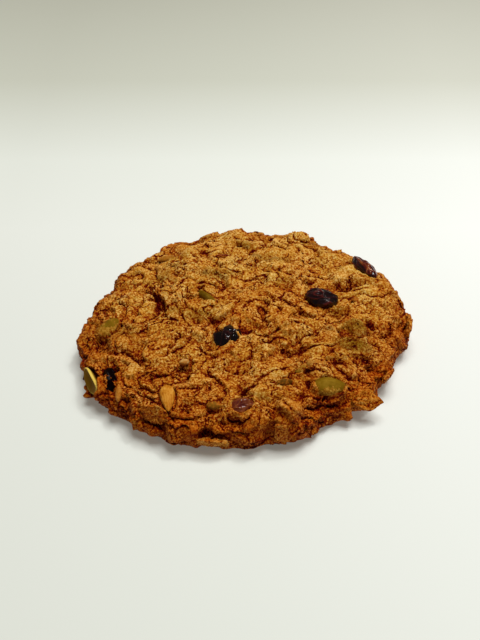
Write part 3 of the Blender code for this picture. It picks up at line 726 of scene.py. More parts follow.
class Nodes:
    """Short calls to place and link shader nodes."""

    def __init__(self, tree):
        self.tree = tree

    def feed(self, socket, value):
        """Link a socket to another, or set its value."""
        if isinstance(value, bpy.types.NodeSocket):
            self.tree.links.new(value, socket)
        else:
            socket.default_value = value

    def set(self, node, **values):
        """Feed a node's sockets by name, _ for a space."""
        for key, value in values.items():
            self.feed(node.inputs[key.replace("_", " ")], value)
        return node

    def add(self, kind, settings=None, **values):
        """A node with its settings, its sockets fed by name."""
        node = self.tree.nodes.new(kind)
        for key, value in (settings or {}).items():
            setattr(node, key, value)
        return self.set(node, **values)

    def math(self, operation, *values):
        """A Math node's value."""
        node = self.add("ShaderNodeMath", {"operation": operation})
        for socket, value in zip(node.inputs, values):
            self.feed(socket, value)
        return node.outputs[0]

    def times(self, first, second):
        """A product."""
        return self.math("MULTIPLY", first, second)

    def plus(self, first, second):
        """A sum."""
        return self.math("ADD", first, second)

    def minus(self, first, second):
        """A difference."""
        return self.math("SUBTRACT", first, second)

    def most(self, first, second):
        """The larger of two values."""
        return self.math("MAXIMUM", first, second)

    def off(self, value, middle):
        """How far a value lies from a middle."""
        return self.math("ABSOLUTE", self.minus(value, middle))

    def blend(self, first, share, second, other):
        """Two values added up by their shares."""
        return self.plus(self.times(first, share), self.times(second, other))

    def mix(self, share, first, second, blend="MIX"):
        """Mix two colours."""
        node = self.add("ShaderNodeMix", {"data_type": "RGBA", "blend_type": blend})
        for index, value in ((0, share), (6, first), (7, second)):
            self.feed(node.inputs[index], value)
        return node.outputs[2]

    def span(self, value, low, high, out_low=0.0, out_high=1.0):
        """Map a value's range smoothly onto another."""
        node = self.add("ShaderNodeMapRange", {"interpolation_type": "SMOOTHSTEP"})
        for index, number in enumerate((value, low, high, out_low, out_high)):
            self.feed(node.inputs[index], number)
        return node.outputs[0]

    def ramp(self, value, stops):
        """Colours along a value, each stop a place and a colour."""
        node = self.add("ShaderNodeValToRGB", Fac=value)
        marks = node.color_ramp.elements
        while len(marks) < len(stops):
            marks.new(0.5)
        for mark, (place, colour) in zip(marks, stops):
            mark.position = place
            mark.color = colour
        return node.outputs[0]

    def noise(self, place, scale, detail=3.0, roughness=0.6):
        """A noise texture's value."""
        return self.add(
            "ShaderNodeTexNoise", Vector=place, Scale=scale, Detail=detail, Roughness=roughness).outputs[0]

    def patches(self, place, scale, low, high, least=0.0):
        """Soft patches, 1 where a coarse noise is above the low and the high."""
        return self.span(self.noise(place, scale, 2.0, 0.5), low, high, least)

    def attribute(self, name):
        """A number stored on the mesh."""
        return self.add("ShaderNodeAttribute", {"attribute_name": name}).outputs["Fac"]

    def bump(self, shader, height, strength, distance):
        """Feed a height to the shader's normal."""
        node = self.add("ShaderNodeBump", Height=height, Strength=strength, Distance=distance)
        self.set(shader, Normal=node.outputs["Normal"])


def rgba(red, green, blue):
    """A linear colour from sRGB steps of 0 to 255."""
    shares = np.array((red, green, blue)) / 255
    linear = np.where(shares <= 0.04045, shares / 12.92, ((shares + 0.055) / 1.055) ** 2.4)
    return (*linear, 1.0)


def new_material(name):
    """A material, its shader and a node builder, with its object coordinates."""
    material = bpy.data.materials.new(name)
    material.use_nodes = True
    net = Nodes(material.node_tree)
    shader = material.node_tree.nodes["Principled BSDF"]
    place = net.add("ShaderNodeTexCoord").outputs["Object"]
    return material, shader, net, place


# thin broken fissures, short dashes and longer lines: scale, width, then the scale of the
# patches that they show in and how rare these are
DASHES = (520.0, 0.045, 420.0, 0.57)
LINES = (230.0, 0.020, 200.0, 0.50)


def grit_group():
    """Toasted grit that all dough shares: fine grains, a broad mottle and thin broken fissures, which the
    dough paints dark as shade.
    """
    group = bpy.data.node_groups.new("toasted_grit", "ShaderNodeTree")
    group.interface.new_socket(name="Vector", in_out="INPUT", socket_type="NodeSocketVector")
    for name in ("Height", "Mottle", "Fissures"):
        group.interface.new_socket(name=name, in_out="OUTPUT", socket_type="NodeSocketFloat")
    net = Nodes(group)
    place = group.nodes.new("NodeGroupInput").outputs["Vector"]
    grains = net.add("ShaderNodeTexVoronoi", Vector=place, Scale=1600.0).outputs["Distance"]
    height = net.plus(net.blend(grains, -0.35, net.noise(place, 1700.0, 3.0, 0.9), 1.8), -0.18)
    mottle = net.blend(net.noise(place, 95.0, 2.0, 0.5), 0.6, net.noise(place, 330.0), 0.4)
    fissures = []
    for scale, width, patch_scale, rare in (DASHES, LINES):
        lines = net.span(net.off(net.noise(place, scale), 0.5), 0.0, width, 1.0, 0.0)
        fissures.append(net.times(lines, net.patches(place, patch_scale, rare, rare + 0.07)))
    dashes = net.times(fissures[0], net.patches(place, 130.0, 0.40, 0.60, 0.25))
    net.set(
        group.nodes.new("NodeGroupOutput"), Height=height, Mottle=net.span(mottle, 0.36, 0.64),
        Fissures=net.most(dashes, fissures[1]))
    return group


# shades of the crust, from maroon, painted as shade in its gaps, to tan, painted as light on its high grains
GOLDEN = (
    (0.00, rgba(58, 2, 3)), (0.22, rgba(110, 16, 5)), (0.38, rgba(149, 62, 8)),
    (0.52, rgba(182, 118, 24)), (0.75, rgba(208, 156, 54)), (1.00, rgba(236, 200, 122)))
GINGER = (
    (0.00, rgba(54, 2, 3)), (0.22, rgba(104, 12, 5)), (0.38, rgba(142, 50, 6)),
    (0.52, rgba(176, 102, 15)), (0.75, rgba(202, 136, 38)), (1.00, rgba(226, 174, 94)))
TOASTED = (0.80, 0.48, 0.20, 1.0)
SEED_STAINED = rgba(166, 160, 84)
# the painted shadow line at the foot of a ledge: its place in the step, then its core and edge
# in mm and how dark it is. A crease's line of painted shade has its core, edge and darkness.
FOOT_LINE = 0.42
FOOT_SHADE = (0.03, 0.27, 0.50)
CREASE_SHADE = (0.005, 0.05, 0.40)
GRIT_LEVEL = (0.25, 0.95, -0.21, 0.46)


def dough_material():
    """Browned dough: light tan on the high grains and maroon in the gaps as painted light and shade, orange
    brown between, with painted shade lines at fissures, creases and ledge feet.
    """
    material, shader, net, place = new_material("baked_dough")
    grit = net.add("ShaderNodeGroup", {"node_tree": GRIT}, Vector=place).outputs
    rough = net.attribute("rough")
    foot = net.off(net.math("FRACT", net.attribute("step")), FOOT_LINE)
    foot = net.span(net.math("DIVIDE", foot, net.attribute("slope")), *FOOT_SHADE, 0.0)
    foot = net.times(foot, net.patches(place, 170.0, 0.44, 0.54))
    crease = net.span(net.off(net.attribute("crease"), 0.0), *CREASE_SHADE, 0.0)
    crease = net.times(crease, net.patches(place, 240.0, 0.50, 0.60))
    # dark lines of painted shade: in fissures, in creases and at the feet of ledges
    fissures = net.most(net.times(net.times(grit["Fissures"], 0.9), rough), net.most(foot, crease))
    # the grains' height paints them paler on top and darker in their pits, painted light and shade over their
    # own speckle
    fine = net.span(grit["Height"], *GRIT_LEVEL)
    fine = net.times(fine, net.math("MULTIPLY_ADD", rough, 0.35, 1.0))
    level = net.plus(net.attribute("level"), net.minus(fine, fissures))
    # toast darkens the crust: browning, and painted shade on the rim, the near side and the left
    toast_and_shade = net.attribute("toast_and_shade")
    level = net.minus(level, net.times(toast_and_shade, 0.10))
    colour = net.mix(grit["Mottle"], net.ramp(level, GINGER), net.ramp(level, GOLDEN))
    colour = net.mix(toast_and_shade, colour, TOASTED, "MULTIPLY")
    colour = net.mix(net.attribute("green"), colour, SEED_STAINED, "MULTIPLY")
    rough_skin = net.span(level, 0.2, 0.9, 0.85, 0.5)
    net.set(shader, Base_Color=colour, Roughness=rough_skin, Specular_IOR_Level=0.08)
    net.bump(shader, net.minus(grit["Height"], net.times(fissures, 0.5)), 0.75, 0.2 * MM)
    return material


# where buried seeds tint the crust olive: point in mm, half length, half width
TINTS = (
    ((-8.6, 14.6, 14.0), 5.0, 3.0),
    ((6.0, 25.0, 13.2), 4.0, 3.0),
    ((11.0, 24.0, 13.2), 4.0, 2.4),
    ((-24.0, 27.0, 11.2), 4.0, 2.4),
    ((-19.6, 20.0, 13.0), 4.4, 2.4),
    ((-24.6, 14.6, 12.6), 4.0, 3.0),
    ((-13.6, -4.0, 14.4), 4.4, 2.6),
    ((-20.0, -1.6, 14.0), 3.0, 2.2),
    ((5.0, -37.0, 11.0), 2.4, 1.8),
    ((9.4, -37.2, 11.0), 3.0, 1.8),
    ((16.0, -26.6, 12.2), 3.0, 2.0),
    ((-33.0, -10.8, 11.8), 4.0, 2.4),
    ((27.4, -1.0, 13.0), 3.4, 2.6),
    ((12.0, 10.4, 14.2), 2.6, 2.0),
    ((22.0, 36.0, 10.8), 3.4, 2.0),
    ((0.0, 34.0, 12.0), 4.0, 2.4),
)
TINT_SHARE = 0.55
# tints over crusted seeds
CRUSTED_TINTS = (
    ((-38.8, -6.6, 10.9), 4.2, 3.4),
    ((31.5, -9.5, 11.9), 4.2, 3.4),
    ((30.6, -16.2, 11.5), 5.2, 3.2),
)


def patches(places, crust, spots):
    """Soft patches round the spots, 1 in their middles."""
    share = np.zeros(len(places))
    for point, half_length, half_width in spots:
        local = in_frame(places, crust.frame(point, 0))
        reach = np.linalg.norm(local / (np.array((half_length, half_width, half_length)) * MM), axis=1)
        share = np.maximum(share, np.exp(-reach ** 3))
    return share


def rim_reach(places, bearing, across):
    """How far the rim's crags and its ragged edge stand out."""
    rim = np.clip((across - RIM_START) / (1 - RIM_START), 0, 1) ** 2
    crags = crag_reach(bearing) * np.clip(places[:, 2] / BELLY_HEIGHT, CRAG_LEAST, 1)
    ragged = noises(places, RIM_NOISE) * MM * varied(places[:, 1] / MEAN_RADIUS, *RIM_FRONT)
    return (crags + ragged * np.clip(places[:, 2] / RIM_FOOT, 0, 1)) * rim


# how much the crumb's forms and grit fade on smooth flakes, and its forms under toppings
SMOOTH_FADE = 0.5
SMOOTH_GRIT_FADE = 0.45
COVERED_FADE = 0.8
# least climb of the ledges' level over a mm, so that a foot's line stays thin
LEAST_CLIMB = 0.15
# the shade, 0 maroon to 1 tan: its middle, and what a rise over the crust close by and over
# the crust further round adds, less where it is raised and more where it is sunk. Paler
# rises and darker hollows are painted light and shade.
MIDDLE_SHADE = 0.588
BASE_SHADE = 0.5
NEAR_RISE = 0.1875 / MM
WIDE_RISE = 0.28 / MM
NEAR_ROUNDS = 10
WIDE_ROUNDS = 60
RAISED = 0.6
SUNK = 1.1
RIM_CALM = (0.78, 0.15, 0.35)
# depths that make a crack or a gap quite dark, and the shade lost under a topping: painted shade in cracks,
# gaps and under toppings
DARK_CRACK = 2.3 * MM
DARK_GAP = 0.75 * MM
COVERED_SHADE = 0.3
# the far side is painted paler and the left darker, and the near side and the left more
# toasted, as painted light and shade, each with its shade and its toast
FAR_SIDE = 34.0 * MM
FAR_LOOKS = (0.035, -0.19)
LEFT_LOOKS = (-0.05, 0.06)
# toast, browning that on the rim also holds painted shade: the least, where the rim's starts
# and over what width, and the base's
TOAST = 0.12
TOAST_RIM = (0.80, 0.18)
TOAST_HEIGHT = 11.0 * MM
TOAST_LOW = (1.35, -1.0, 0.1, 1.0)
BASE_TOAST = (1.2 * MM, 0.6)


def shade_and_toast(places, across, relief, tones, cuts, links):
    """How pale and how toasted the crust is, from its relief, its flakes and its side, with painted shade in
    its hollows, cracks and gaps and under toppings, and painted light and shade by side.
    """
    near = links.mean(relief, NEAR_ROUNDS)
    # paler on rises and darker in hollows: painted light and shade
    rise = (relief - near) * NEAR_RISE + (near - links.mean(near, WIDE_ROUNDS)) * WIDE_RISE
    rise *= np.where(rise > 0, RAISED, SUNK)
    start, width, calmed = RIM_CALM
    calm = 1 - calmed * np.clip((across - start) / width, 0, 1)
    cracks, gaps, covered = cuts
    # cracks, gaps and crust under toppings are darkened as painted shade
    shade = MIDDLE_SHADE + (rise + tones) * calm + cracks / DARK_CRACK
    shade = np.clip(shade - gaps / DARK_GAP * calm - covered * COVERED_SHADE, 0, 1)
    start, width = TOAST_RIM
    toast_and_shade = np.clip((across - start) / width, 0, 1) * varied(places[:, 2] / TOAST_HEIGHT, *TOAST_LOW) + TOAST
    far = np.clip(places[:, 1] / FAR_SIDE, -1, 1)
    left = np.clip(-places[:, 0] / MEAN_RADIUS, 0, 1) ** 2
    for side, (paler, browner) in ((far, FAR_LOOKS), (left, LEFT_LOOKS)):
        shade = shade + paler * side
        toast_and_shade = toast_and_shade + browner * side
    height, base_toast = BASE_TOAST
    under = falling(places[:, 2], height, height) * base_toast
    return np.clip(shade, 0, 1), np.maximum(np.clip(toast_and_shade, 0, 1), under)


LOOKS = ("level", "toast_and_shade", "green", "rough", "step", "slope", "crease")


def set_looks(piece, looks):
    """Store the numbers that the dough's material reads."""
    set_attributes(piece, **dict(zip(LOOKS, np.array(looks).T)))


def bake_dough():
    """The crust at full detail. Returns it, smooth and baked points of it, and its looks."""
    bm = pressed_ball(DOUGH_CUTS, BASE_SHARE_OF_MESH)
    places = np.array([vertex.co for vertex in bm.verts])
    normals = np.array([vertex.normal for vertex in bm.verts])
    crust = Crust(places, normals)
    wandered = places + wander(places, FLAKE_WANDER)
    ledges, feet, steps = ledge_relief(places)
    relief = clump_relief(places) + noises(places, ROUGH_NOISE) * MM + ledges
    smooth, moats, tones = lay_flakes(places, wandered, relief, crust)
    cracks = crack_relief(places, wandered + wander(places, CRACK_WANDER), crust)
    relief += cracks + hollow_relief(places, crust)
    covered = pocket_relief(places, relief, crust)
    lumps, gaps, rough, creases = crumb_relief(places)
    rough *= 1 - SMOOTH_GRIT_FADE * smooth
    plain = 1 - SMOOTH_FADE * smooth
    gaps = np.maximum(np.maximum(gaps * plain, feet), moats) * (1 - covered)
    relief += lumps * plain * (1 - COVERED_FADE * covered) - gaps
    bearing = np.arctan2(places[:, 1], places[:, 0])
    across = np.hypot(places[:, 0], places[:, 1]) / outline_radius(bearing)
    fade = np.clip(places[:, 2] / SMOOTH_FOOT, 0, 1)
    flat = np.stack((np.cos(bearing), np.sin(bearing), np.zeros(len(bearing))), axis=1)
    moved = places + normals * (relief * fade)[:, None] + flat * rim_reach(places, bearing, across)[:, None]
    moved[:, 2] = np.maximum(moved[:, 2], 0.0)
    for vertex, place in zip(bm.verts, moved):
        vertex.co = place
    bm.normal_update()
    baked = Crust(moved, [vertex.normal for vertex in bm.verts])
    links = Links(bm)
    slope = np.maximum(links.mean(links.steepest(steps, places)), LEAST_CLIMB)
    shade, toast_and_shade = shade_and_toast(places, across, relief, tones, (cracks, gaps, covered), links)
    green = np.maximum(patches(places, crust, TINTS) * TINT_SHARE, patches(places, crust, CRUSTED_TINTS))
    looks = np.stack((drawn(BASE_SHADE, shade, fade), toast_and_shade, green, rough, steps, slope, creases), axis=1)
    dough = finished("baked_crust", bm, DOUGH)
    set_looks(dough, looks)
    return dough, crust, baked, looks


GRIT = grit_group()
DOUGH = dough_material()
dough, smooth_crust, baked_crust, crust_looks = bake_dough()
on_cookie(dough, "baked_dough", "cookie")

# ---------------------------------------------------------------------------
# Loose crumbs: grains of baked dough that stick to the crust, each a small
# uneven lump, some lighter and some darker than the crust under it.
# ---------------------------------------------------------------------------
CRUMB_COUNT = 3600
CRUMB_RADIUS = (0.08 * MM, 0.24 * MM)
CRUMB_LOWEST = 1.2 * MM
CRUMB_RISE = 0.1
CRUMB_WIDTHS = (0.7, 1.3)
CRUMB_HEIGHTS = (0.6, 1.0)
CRUMB_UNEVEN = (0.75, 1.2)
CRUMB_SHADES = (-0.05, 0.2)


def many(shape, count):
    """A bmesh that holds a shape many times over. The shape is used up."""
    mesh = bpy.data.meshes.new("single")
    shape.to_mesh(mesh)
    shape.free()
    bm = bmesh.new()
    for _ in range(count):
        bm.from_mesh(mesh)
    bpy.data.meshes.remove(mesh)
    return bm


def scatter_crumbs(crust, looks):
    """Small lumps, half sunk, all over the crust above its foot."""
    rng = random.Random(SEED + 4)
    lump = bmesh.new()
    bmesh.ops.create_icosphere(lump, subdivisions=1, radius=1.0)
    corners = [vertex.co.copy() for vertex in lump.verts]
    bm = many(lump, CRUMB_COUNT)
    spots = [index for index, point in enumerate(crust.points) if point.z > CRUMB_LOWEST]
    places = []
    shades = []
    for _ in range(CRUMB_COUNT):
        index = rng.choice(spots)
        up = crust.normals[index]
        least, most = CRUMB_RADIUS
        size = least + rng.uniform(0, 1) ** 2 * (most - least)
        axes = Matrix.Rotation(rng.uniform(0, 2 * math.pi), 3, up) @ up.to_track_quat("Z", "X").to_matrix()
        widths = (rng.uniform(*CRUMB_WIDTHS), rng.uniform(*CRUMB_WIDTHS))
        squash = Matrix.Diagonal((*widths, rng.uniform(*CRUMB_HEIGHTS)))
        middle = crust.points[index] + up * size * CRUMB_RISE
        for corner in corners:
            uneven = corner * size * rng.uniform(*CRUMB_UNEVEN)
            places.append(middle + axes @ squash @ uneven)
        # each crumb takes the crust's looks under it, its painted light and shade among them
        shade, *others = looks[index]
        shades.append((shade + rng.uniform(*CRUMB_SHADES), *others))
    for vertex, place in zip(bm.verts, places):
        vertex.co = place
    crumbs = finished("loose_crumbs", bm, DOUGH)
    set_looks(crumbs, np.repeat(np.array(shades), len(corners), axis=0))
    return crumbs


on_cookie(scatter_crumbs(baked_crust, crust_looks), "baked_dough")

# ---------------------------------------------------------------------------
# Oat flakes at the rim: thin rolled oats that stick out of the crust, crusted with
# dough and toasted brown.
# ---------------------------------------------------------------------------
RIM_FLAKE_THICKNESS = 1.3 * MM
# how much of a crag's reach a flake on it moves out
RIM_FLAKE_OUT = 0.9
# roughness of a flake's edge, and waves of its faces, each with its strength and how close
# its swells are, then how its place on the cookie sets it apart
EDGE_WEAR = (0.16, 4.0, 300)
FACE_WAVES = (0.30, 2.2, 200)
FACE_FLATNESS = 0.6
# toast towards the edge, as a share of the flake's own
EDGE_TOAST = 0.3
# lumps of its skin: size and height in mm, steepness, and what they add to its shade,
# painted paler on the lumps and darker between them as light and shade
SKIN_LUMPS = (1.5, 0.32, 3.0, 0.35)
SKIN_SHADE = 0.68
# its green, roughness, step, slope and crease
SKIN_LOOKS = (0.0, 0.4, 0.0, 1.0, 1.0)

# point in mm, half length, half width, heading, lean, then the toast of the flake
RIM_FLAKES = (
    ((11.0, -44.6, 6.0), 4.0, 3.0, -10, 8, 0.85),
    ((47.4, -1.6, 6.6), 4.2, 2.8, 88, 38, 0.75),
    ((-8.4, -46.4, 4.0), 4.6, 2.0, 4, 20, 0.45),
    ((-23.2, -41.2, 8.4), 4.0, 2.8, -12, 30, 0.95),
    ((39.6, -22.6, 5.4), 3.0, 2.0, 60, 30, 0.7),
)
# the flake that points out at the right: middle in mm, half length, half width, then its
# lean, the dip of its tip and its heading in degrees, and how far it narrows to the tip
POINTED_FLAKE = ((33.2, -32.9, 6.0), 4.6, 3.0, (38, 6, 4))
POINTED_TAPER = 0.85
POINTED_TOAST = 0.85


def waves(spot, axes, wave):
    """Noise over a piece's own form, of its strength, that differs from place to place."""
    strength, close, apart = wave
    return strength * noise.noise(spot * close + axes.translation * apart)


def flake_shape(bm, size, axes, rng, toast_and_shade, tip=0.0):
    """An oat flake: a thin uneven oval with a rough skin. Returns the looks of its points."""
    sides = [rng.uniform(*FLAKE_UNEVEN) for _ in range(FLAKE_SIDES)]
    made = bmesh.ops.create_uvsphere(bm, u_segments=64, v_segments=28, radius=1.0)["verts"]
    toasts = []
    for vertex in made:
        turn = math.atan2(vertex.co.y, vertex.co.x) / (2 * math.pi) * FLAKE_SIDES
        low = math.floor(turn)
        reach = drawn(sides[low % FLAKE_SIDES], sides[(low + 1) % FLAKE_SIDES], turn - low)
        reach *= 1 + waves(vertex.co, axes, EDGE_WEAR)
        across = min(math.hypot(vertex.co.x, vertex.co.y), 1.0)
        toasts.append(toast_and_shade * (1 + EDGE_TOAST * across ** 4))
        vertex.co.y *= (1 - tip * max(vertex.co.x, 0.0)) * reach
        vertex.co.x *= reach
        vertex.co.z = math.copysign(abs(vertex.co.z) ** FACE_FLATNESS, vertex.co.z) / 2
        vertex.co.z += waves(vertex.co, axes, FACE_WAVES)
    bmesh.ops.scale(bm, vec=size, verts=made)
    bmesh.ops.transform(bm, matrix=axes, verts=made)
    lump_size, height, steepness, shade = SKIN_LUMPS
    lumps = lumpy([vertex.co for vertex in made], lump_size, steepness)
    up = axes.to_3x3() @ Vector((0, 0, 1))
    for vertex, lump in zip(made, lumps):
        vertex.co += up * lump * height * MM
    return [(SKIN_SHADE + lump * shade, brown, *SKIN_LOOKS) for lump, brown in zip(lumps, toasts)]


def rim_flakes(crust):
    """The flakes that stand out at the rim."""
    rng = random.Random(SEED + 2)
    bm = bmesh.new()
    looks = []
    for point, half_length, half_width, heading, lean, toast_and_shade in RIM_FLAKES:
        out = crag_reach(np.array([math.atan2(point[1], point[0])]))[0]
        axes = crust.frame(point, heading, lean, RIM_FLAKE_OUT * max(out, 0.0))
        looks += flake_shape(bm, (half_length * MM, half_width * MM, RIM_FLAKE_THICKNESS), axes, rng, toast_and_shade)
    point, half_length, half_width, turns = POINTED_FLAKE
    turned = Euler([math.radians(turn) for turn in turns]).to_matrix().to_4x4()
    axes = Matrix.Translation(Vector(point) * MM) @ turned
    size = (half_length * MM, half_width * MM, RIM_FLAKE_THICKNESS)
    looks += flake_shape(bm, size, axes, rng, POINTED_TOAST, POINTED_TAPER)
    flakes = finished("rim_flakes", bm, DOUGH)
    set_looks(flakes, looks)
    return flakes


on_cookie(rim_flakes(smooth_crust), "baked_dough")

# ---------------------------------------------------------------------------
# Small seeds and bits: seeds, chips of berry and lumps that lie in the crust,
# each in its own colour, stuck in the dough as it baked.
# ---------------------------------------------------------------------------
SEED_TAPER = 0.2
# grain and depth of the dents in them
BIT_DENTS = (1.1 * MM, 0.22 * MM)
BIT_TOAST = rgba(200, 150, 110)
BIT_DUST = rgba(176, 104, 24)


def narrow(vertex, taper):
    """Narrow a seed, within a unit ball, towards its tip at +X."""
    narrowed = taper * (vertex.co.x + 1) / 2
    vertex.co.y *= 1 - narrowed
    vertex.co.z *= 1 - narrowed / 2


def kernel_shape(bm, size, axes, taper, rings=14, sides=24):
    """A kernel: an egg-shaped, flattened ball with a pointed end at +X."""
    made = bmesh.ops.create_uvsphere(bm, u_segments=sides, v_segments=rings, radius=1.0)["verts"]
    bmesh.ops.rotate(bm, matrix=Matrix.Rotation(math.pi / 2, 3, "Y"), verts=made)
    for vertex in made:
        narrow(vertex, taper)
    bmesh.ops.scale(bm, vec=size, verts=made)
    bmesh.ops.transform(bm, matrix=axes, verts=made)
    return made


def bit_material():
    """Bits in their own colours, mottled with toasted dough."""
    material, shader, net, place = new_material("seed_bits")
    grit = net.add("ShaderNodeGroup", {"node_tree": GRIT}, Vector=place).outputs["Height"]
    own = net.add("ShaderNodeAttribute", {"attribute_name": "bit_colour"}).outputs["Color"]
    colour = net.mix(grit, own, BIT_TOAST, "MULTIPLY")
    dusting = net.times(net.span(net.noise(place, 700.0), 0.47, 0.58), 0.8)
    net.set(shader, Base_Color=net.mix(dusting, colour, BIT_DUST), Roughness=0.5, Specular_IOR_Level=0.1)
    net.bump(shader, grit, 0.5, 0.12 * MM)
    return material


def small_seeds(crust):
    """The small seeds and bits, as one mesh with a colour for each."""
    bm = bmesh.new()
    colours = []
    for point, half_length, half_width, half_height, heading, colour in SMALL_SEEDS:
        size = Vector((half_length, half_width, half_height)) * MM
        made = kernel_shape(bm, size, crust.frame(point, heading), SEED_TAPER)
        for vertex in made:
            vertex.co += noise.noise_vector(vertex.co / BIT_DENTS[0]) * BIT_DENTS[1]
        colours.extend([rgba(*colour)] * len(made))
    seeds = finished("small_seeds", bm, bit_material())
    layer = seeds.data.attributes.new("bit_colour", "FLOAT_COLOR", "POINT")
    layer.data.foreach_set("color", np.array(colours, dtype=np.float32).ravel())
    return seeds


on_cookie(small_seeds(smooth_crust), "baked_dough")

# ---------------------------------------------------------------------------
# Dried cranberries: shrunken, wrinkled skins, nearly black red and glossy with
# their own syrup. Each sits in a pocket that the dough baked round it.
# ---------------------------------------------------------------------------
BERRY_DENTS = 7
BERRY_DENT_REACH = (0.72, 0.9)
BERRY_DENT_DEPTH = 0.85
BERRY_FOLDS = 5
BERRY_FOLD_DEPTH = 0.05
BERRY_FOLD_TWIST = 2.5
# wrinkles lie along a berry, so only a share of its length counts. They stray by a noise of
# some closeness and reach. Coarse and fine ones have their closeness, share and sharpness.
WRINKLE_DEPTH = 0.5 * MM
WRINKLE_SIZE = 1.9 * MM
WRINKLE_LENGTH = 0.4
WRINKLE_STRAY = (0.8, 0.5)
WRINKLES = ((1.0, 0.7, 3.4), (2.1, 0.3, 3.0))
WRINKLE_MEAN = 0.3
BERRY_SHADES = (
    (0.1, rgba(8, 1, 2)), (0.35, rgba(30, 5, 7)), (0.6, rgba(84, 20, 14)), (0.95, rgba(172, 98, 38)))
# how red each berry is, how glossy, and how much its ridges differ. cranberry_4 is painted
# black and hardly glossy, for its dark skin and for the shade deep in its opening.
REDNESS = {
    "cranberry_1": 0.0, "cranberry_2": -0.3, "cranberry_3": 0.4, "cranberry_4": -1.0, "cranberry_5": 0.95,
}
GLOSS = {"cranberry_4": 0.06, "cranberry_5": 0.8}
USUAL_GLOSS = 0.45
RIDGE_SHARE = {"cranberry_5": 0.35}


def berry_material(gloss):
    """Dark red skin of some gloss, sticky in places, painted redder and paler on its ridges and darker in the
    folds between as light and shade.
    """
    material, shader, net, place = new_material("dried_cranberry")
    blotch = net.noise(place, 420.0)
    # ridges paler and folds darker: painted light and shade over the berry's own red
    value = net.times(net.plus(net.attribute("ridge"), net.times(blotch, 0.5)), 0.5)
    sticky = net.span(blotch, 0.35, 0.65, 0.08, 0.18)
    net.set(shader, Base_Color=net.ramp(value, BERRY_SHADES), Roughness=sticky, Specular_IOR_Level=gloss)
    net.bump(shader, net.plus(net.noise(place, 1500.0), blotch), 0.4, 0.2 * MM)
    return material


def berry_shape(bm, name, size, axes):
    """A dried berry: a shrunken ball with dents, lengthwise folds and wrinkles."""
    rng = random.Random(name)
    made = bmesh.ops.create_icosphere(bm, subdivisions=6, radius=1.0)["verts"]
    dents = []
    for _ in range(BERRY_DENTS):
        side = Vector((rng.gauss(0, 0.7), rng.gauss(0, 1), rng.gauss(0, 1))).normalized()
        dents.append((side, rng.uniform(*BERRY_DENT_REACH)))
    for vertex in made:
        turn = BERRY_FOLDS * math.atan2(vertex.co.z, vertex.co.y) + BERRY_FOLD_TWIST * vertex.co.x
        fold = BERRY_FOLD_DEPTH * math.sin(turn) * (1 - vertex.co.x ** 2)
        for side, reach in dents:
            past = vertex.co.dot(side) - reach
            if past > 0:
                vertex.co -= side * past * BERRY_DENT_DEPTH
        vertex.co *= 1 + fold
    bmesh.ops.scale(bm, vec=size, verts=made)
    ridges = []
    shift = Vector((rng.uniform(0, 9), rng.uniform(0, 9), rng.uniform(0, 9)))
    stray_scale, stray = WRINKLE_STRAY
    for vertex in made:
        spot = Vector((vertex.co.x * WRINKLE_LENGTH, vertex.co.y, vertex.co.z)) / WRINKLE_SIZE + shift
        spot += noise.noise_vector(spot * stray_scale) * stray
        ridge = 0.0
        for finer, share, sharpness in WRINKLES:
            ridge += share * max(1 - abs(noise.noise(spot * finer)) * sharpness, 0.0)
        vertex.co += vertex.co.normalized() * (ridge - WRINKLE_MEAN) * WRINKLE_DEPTH
        ridges.append(ridge)
    bmesh.ops.transform(bm, matrix=axes, verts=made)
    return np.array(ridges)


def topping_place(entry, crust):
    """Name, half sizes and frame of a topping."""
    name, point, length, width, height, heading, lean, rise = entry
    return name, Vector((length, width, height)) * MM / 2, crust.frame(point, heading, lean, rise * MM)


BERRY_SKINS = {gloss: berry_material(gloss) for gloss in (USUAL_GLOSS, *GLOSS.values())}
for entry in CRANBERRIES:
    bm = bmesh.new()
    name, size, axes = topping_place(entry, smooth_crust)
    ridges = berry_shape(bm, name, size, axes)
    berry = finished(name + "_skin", bm, BERRY_SKINS[GLOSS.get(name, USUAL_GLOSS)])
    set_attributes(berry, ridge=ridges * RIDGE_SHARE.get(name, 1.0) + REDNESS[name])
    on_cookie(berry, "dried_cranberry", name)

# ---------------------------------------------------------------------------
# Pumpkin seeds: hulled kernels with a thin olive skin. One at the rim is split,
# and shows a dished face with a pale edge. Three are crusted over with crumb.
# ---------------------------------------------------------------------------
PUMPKIN_TAPER = 0.3
SPLIT_SEED_TAPER = 0.2
SPLIT_SEED_DISH = 1.1
SPLIT_SEED_RIDGE = 0.6
# how bare of crumbs each seed is, then how many stick to any seed, to its front and its edge.
# These crumbs also darken the skin, on its front and edge as painted shade.
BARE = {"pumpkin_seed_1": 0.36, "pumpkin_seed_5": 0.9, "pumpkin_seed_6": 0.5}
CRUSTED_BARE = 0.14
CRUMBS = 0.5
FRONT_CRUMBS = 0.42
EDGE_CRUMBS = 0.14
# the bright ridge, a pale split edge with a painted highlight: where it starts, its width, and
# how it fades to the lower side
RIDGE_START = 0.76
RIDGE_WIDTH = 0.14
RIDGE_UPPER = 0.35
OLIVE = ((0.1, rgba(96, 70, 8)), (0.2, rgba(92, 64, 4)), (0.42, rgba(118, 86, 12)), (0.6, rgba(142, 108, 28)))
DISH_OLIVE = rgba(120, 80, 6)
SPLIT_EDGE = rgba(220, 188, 84)
STUCK_CRUMBS = ((0.2, rgba(106, 62, 8)), (0.5, rgba(148, 96, 20)), (0.9, rgba(192, 148, 62)))
# dents of the skin: how close they are, how a seed's place sets them apart, and their depth
SEED_DENTS = (1.6, 100, 0.06)
# how far from its middle a whole seed starts to darken, as painted shade towards its edge
SEED_DARK_START = 0.4


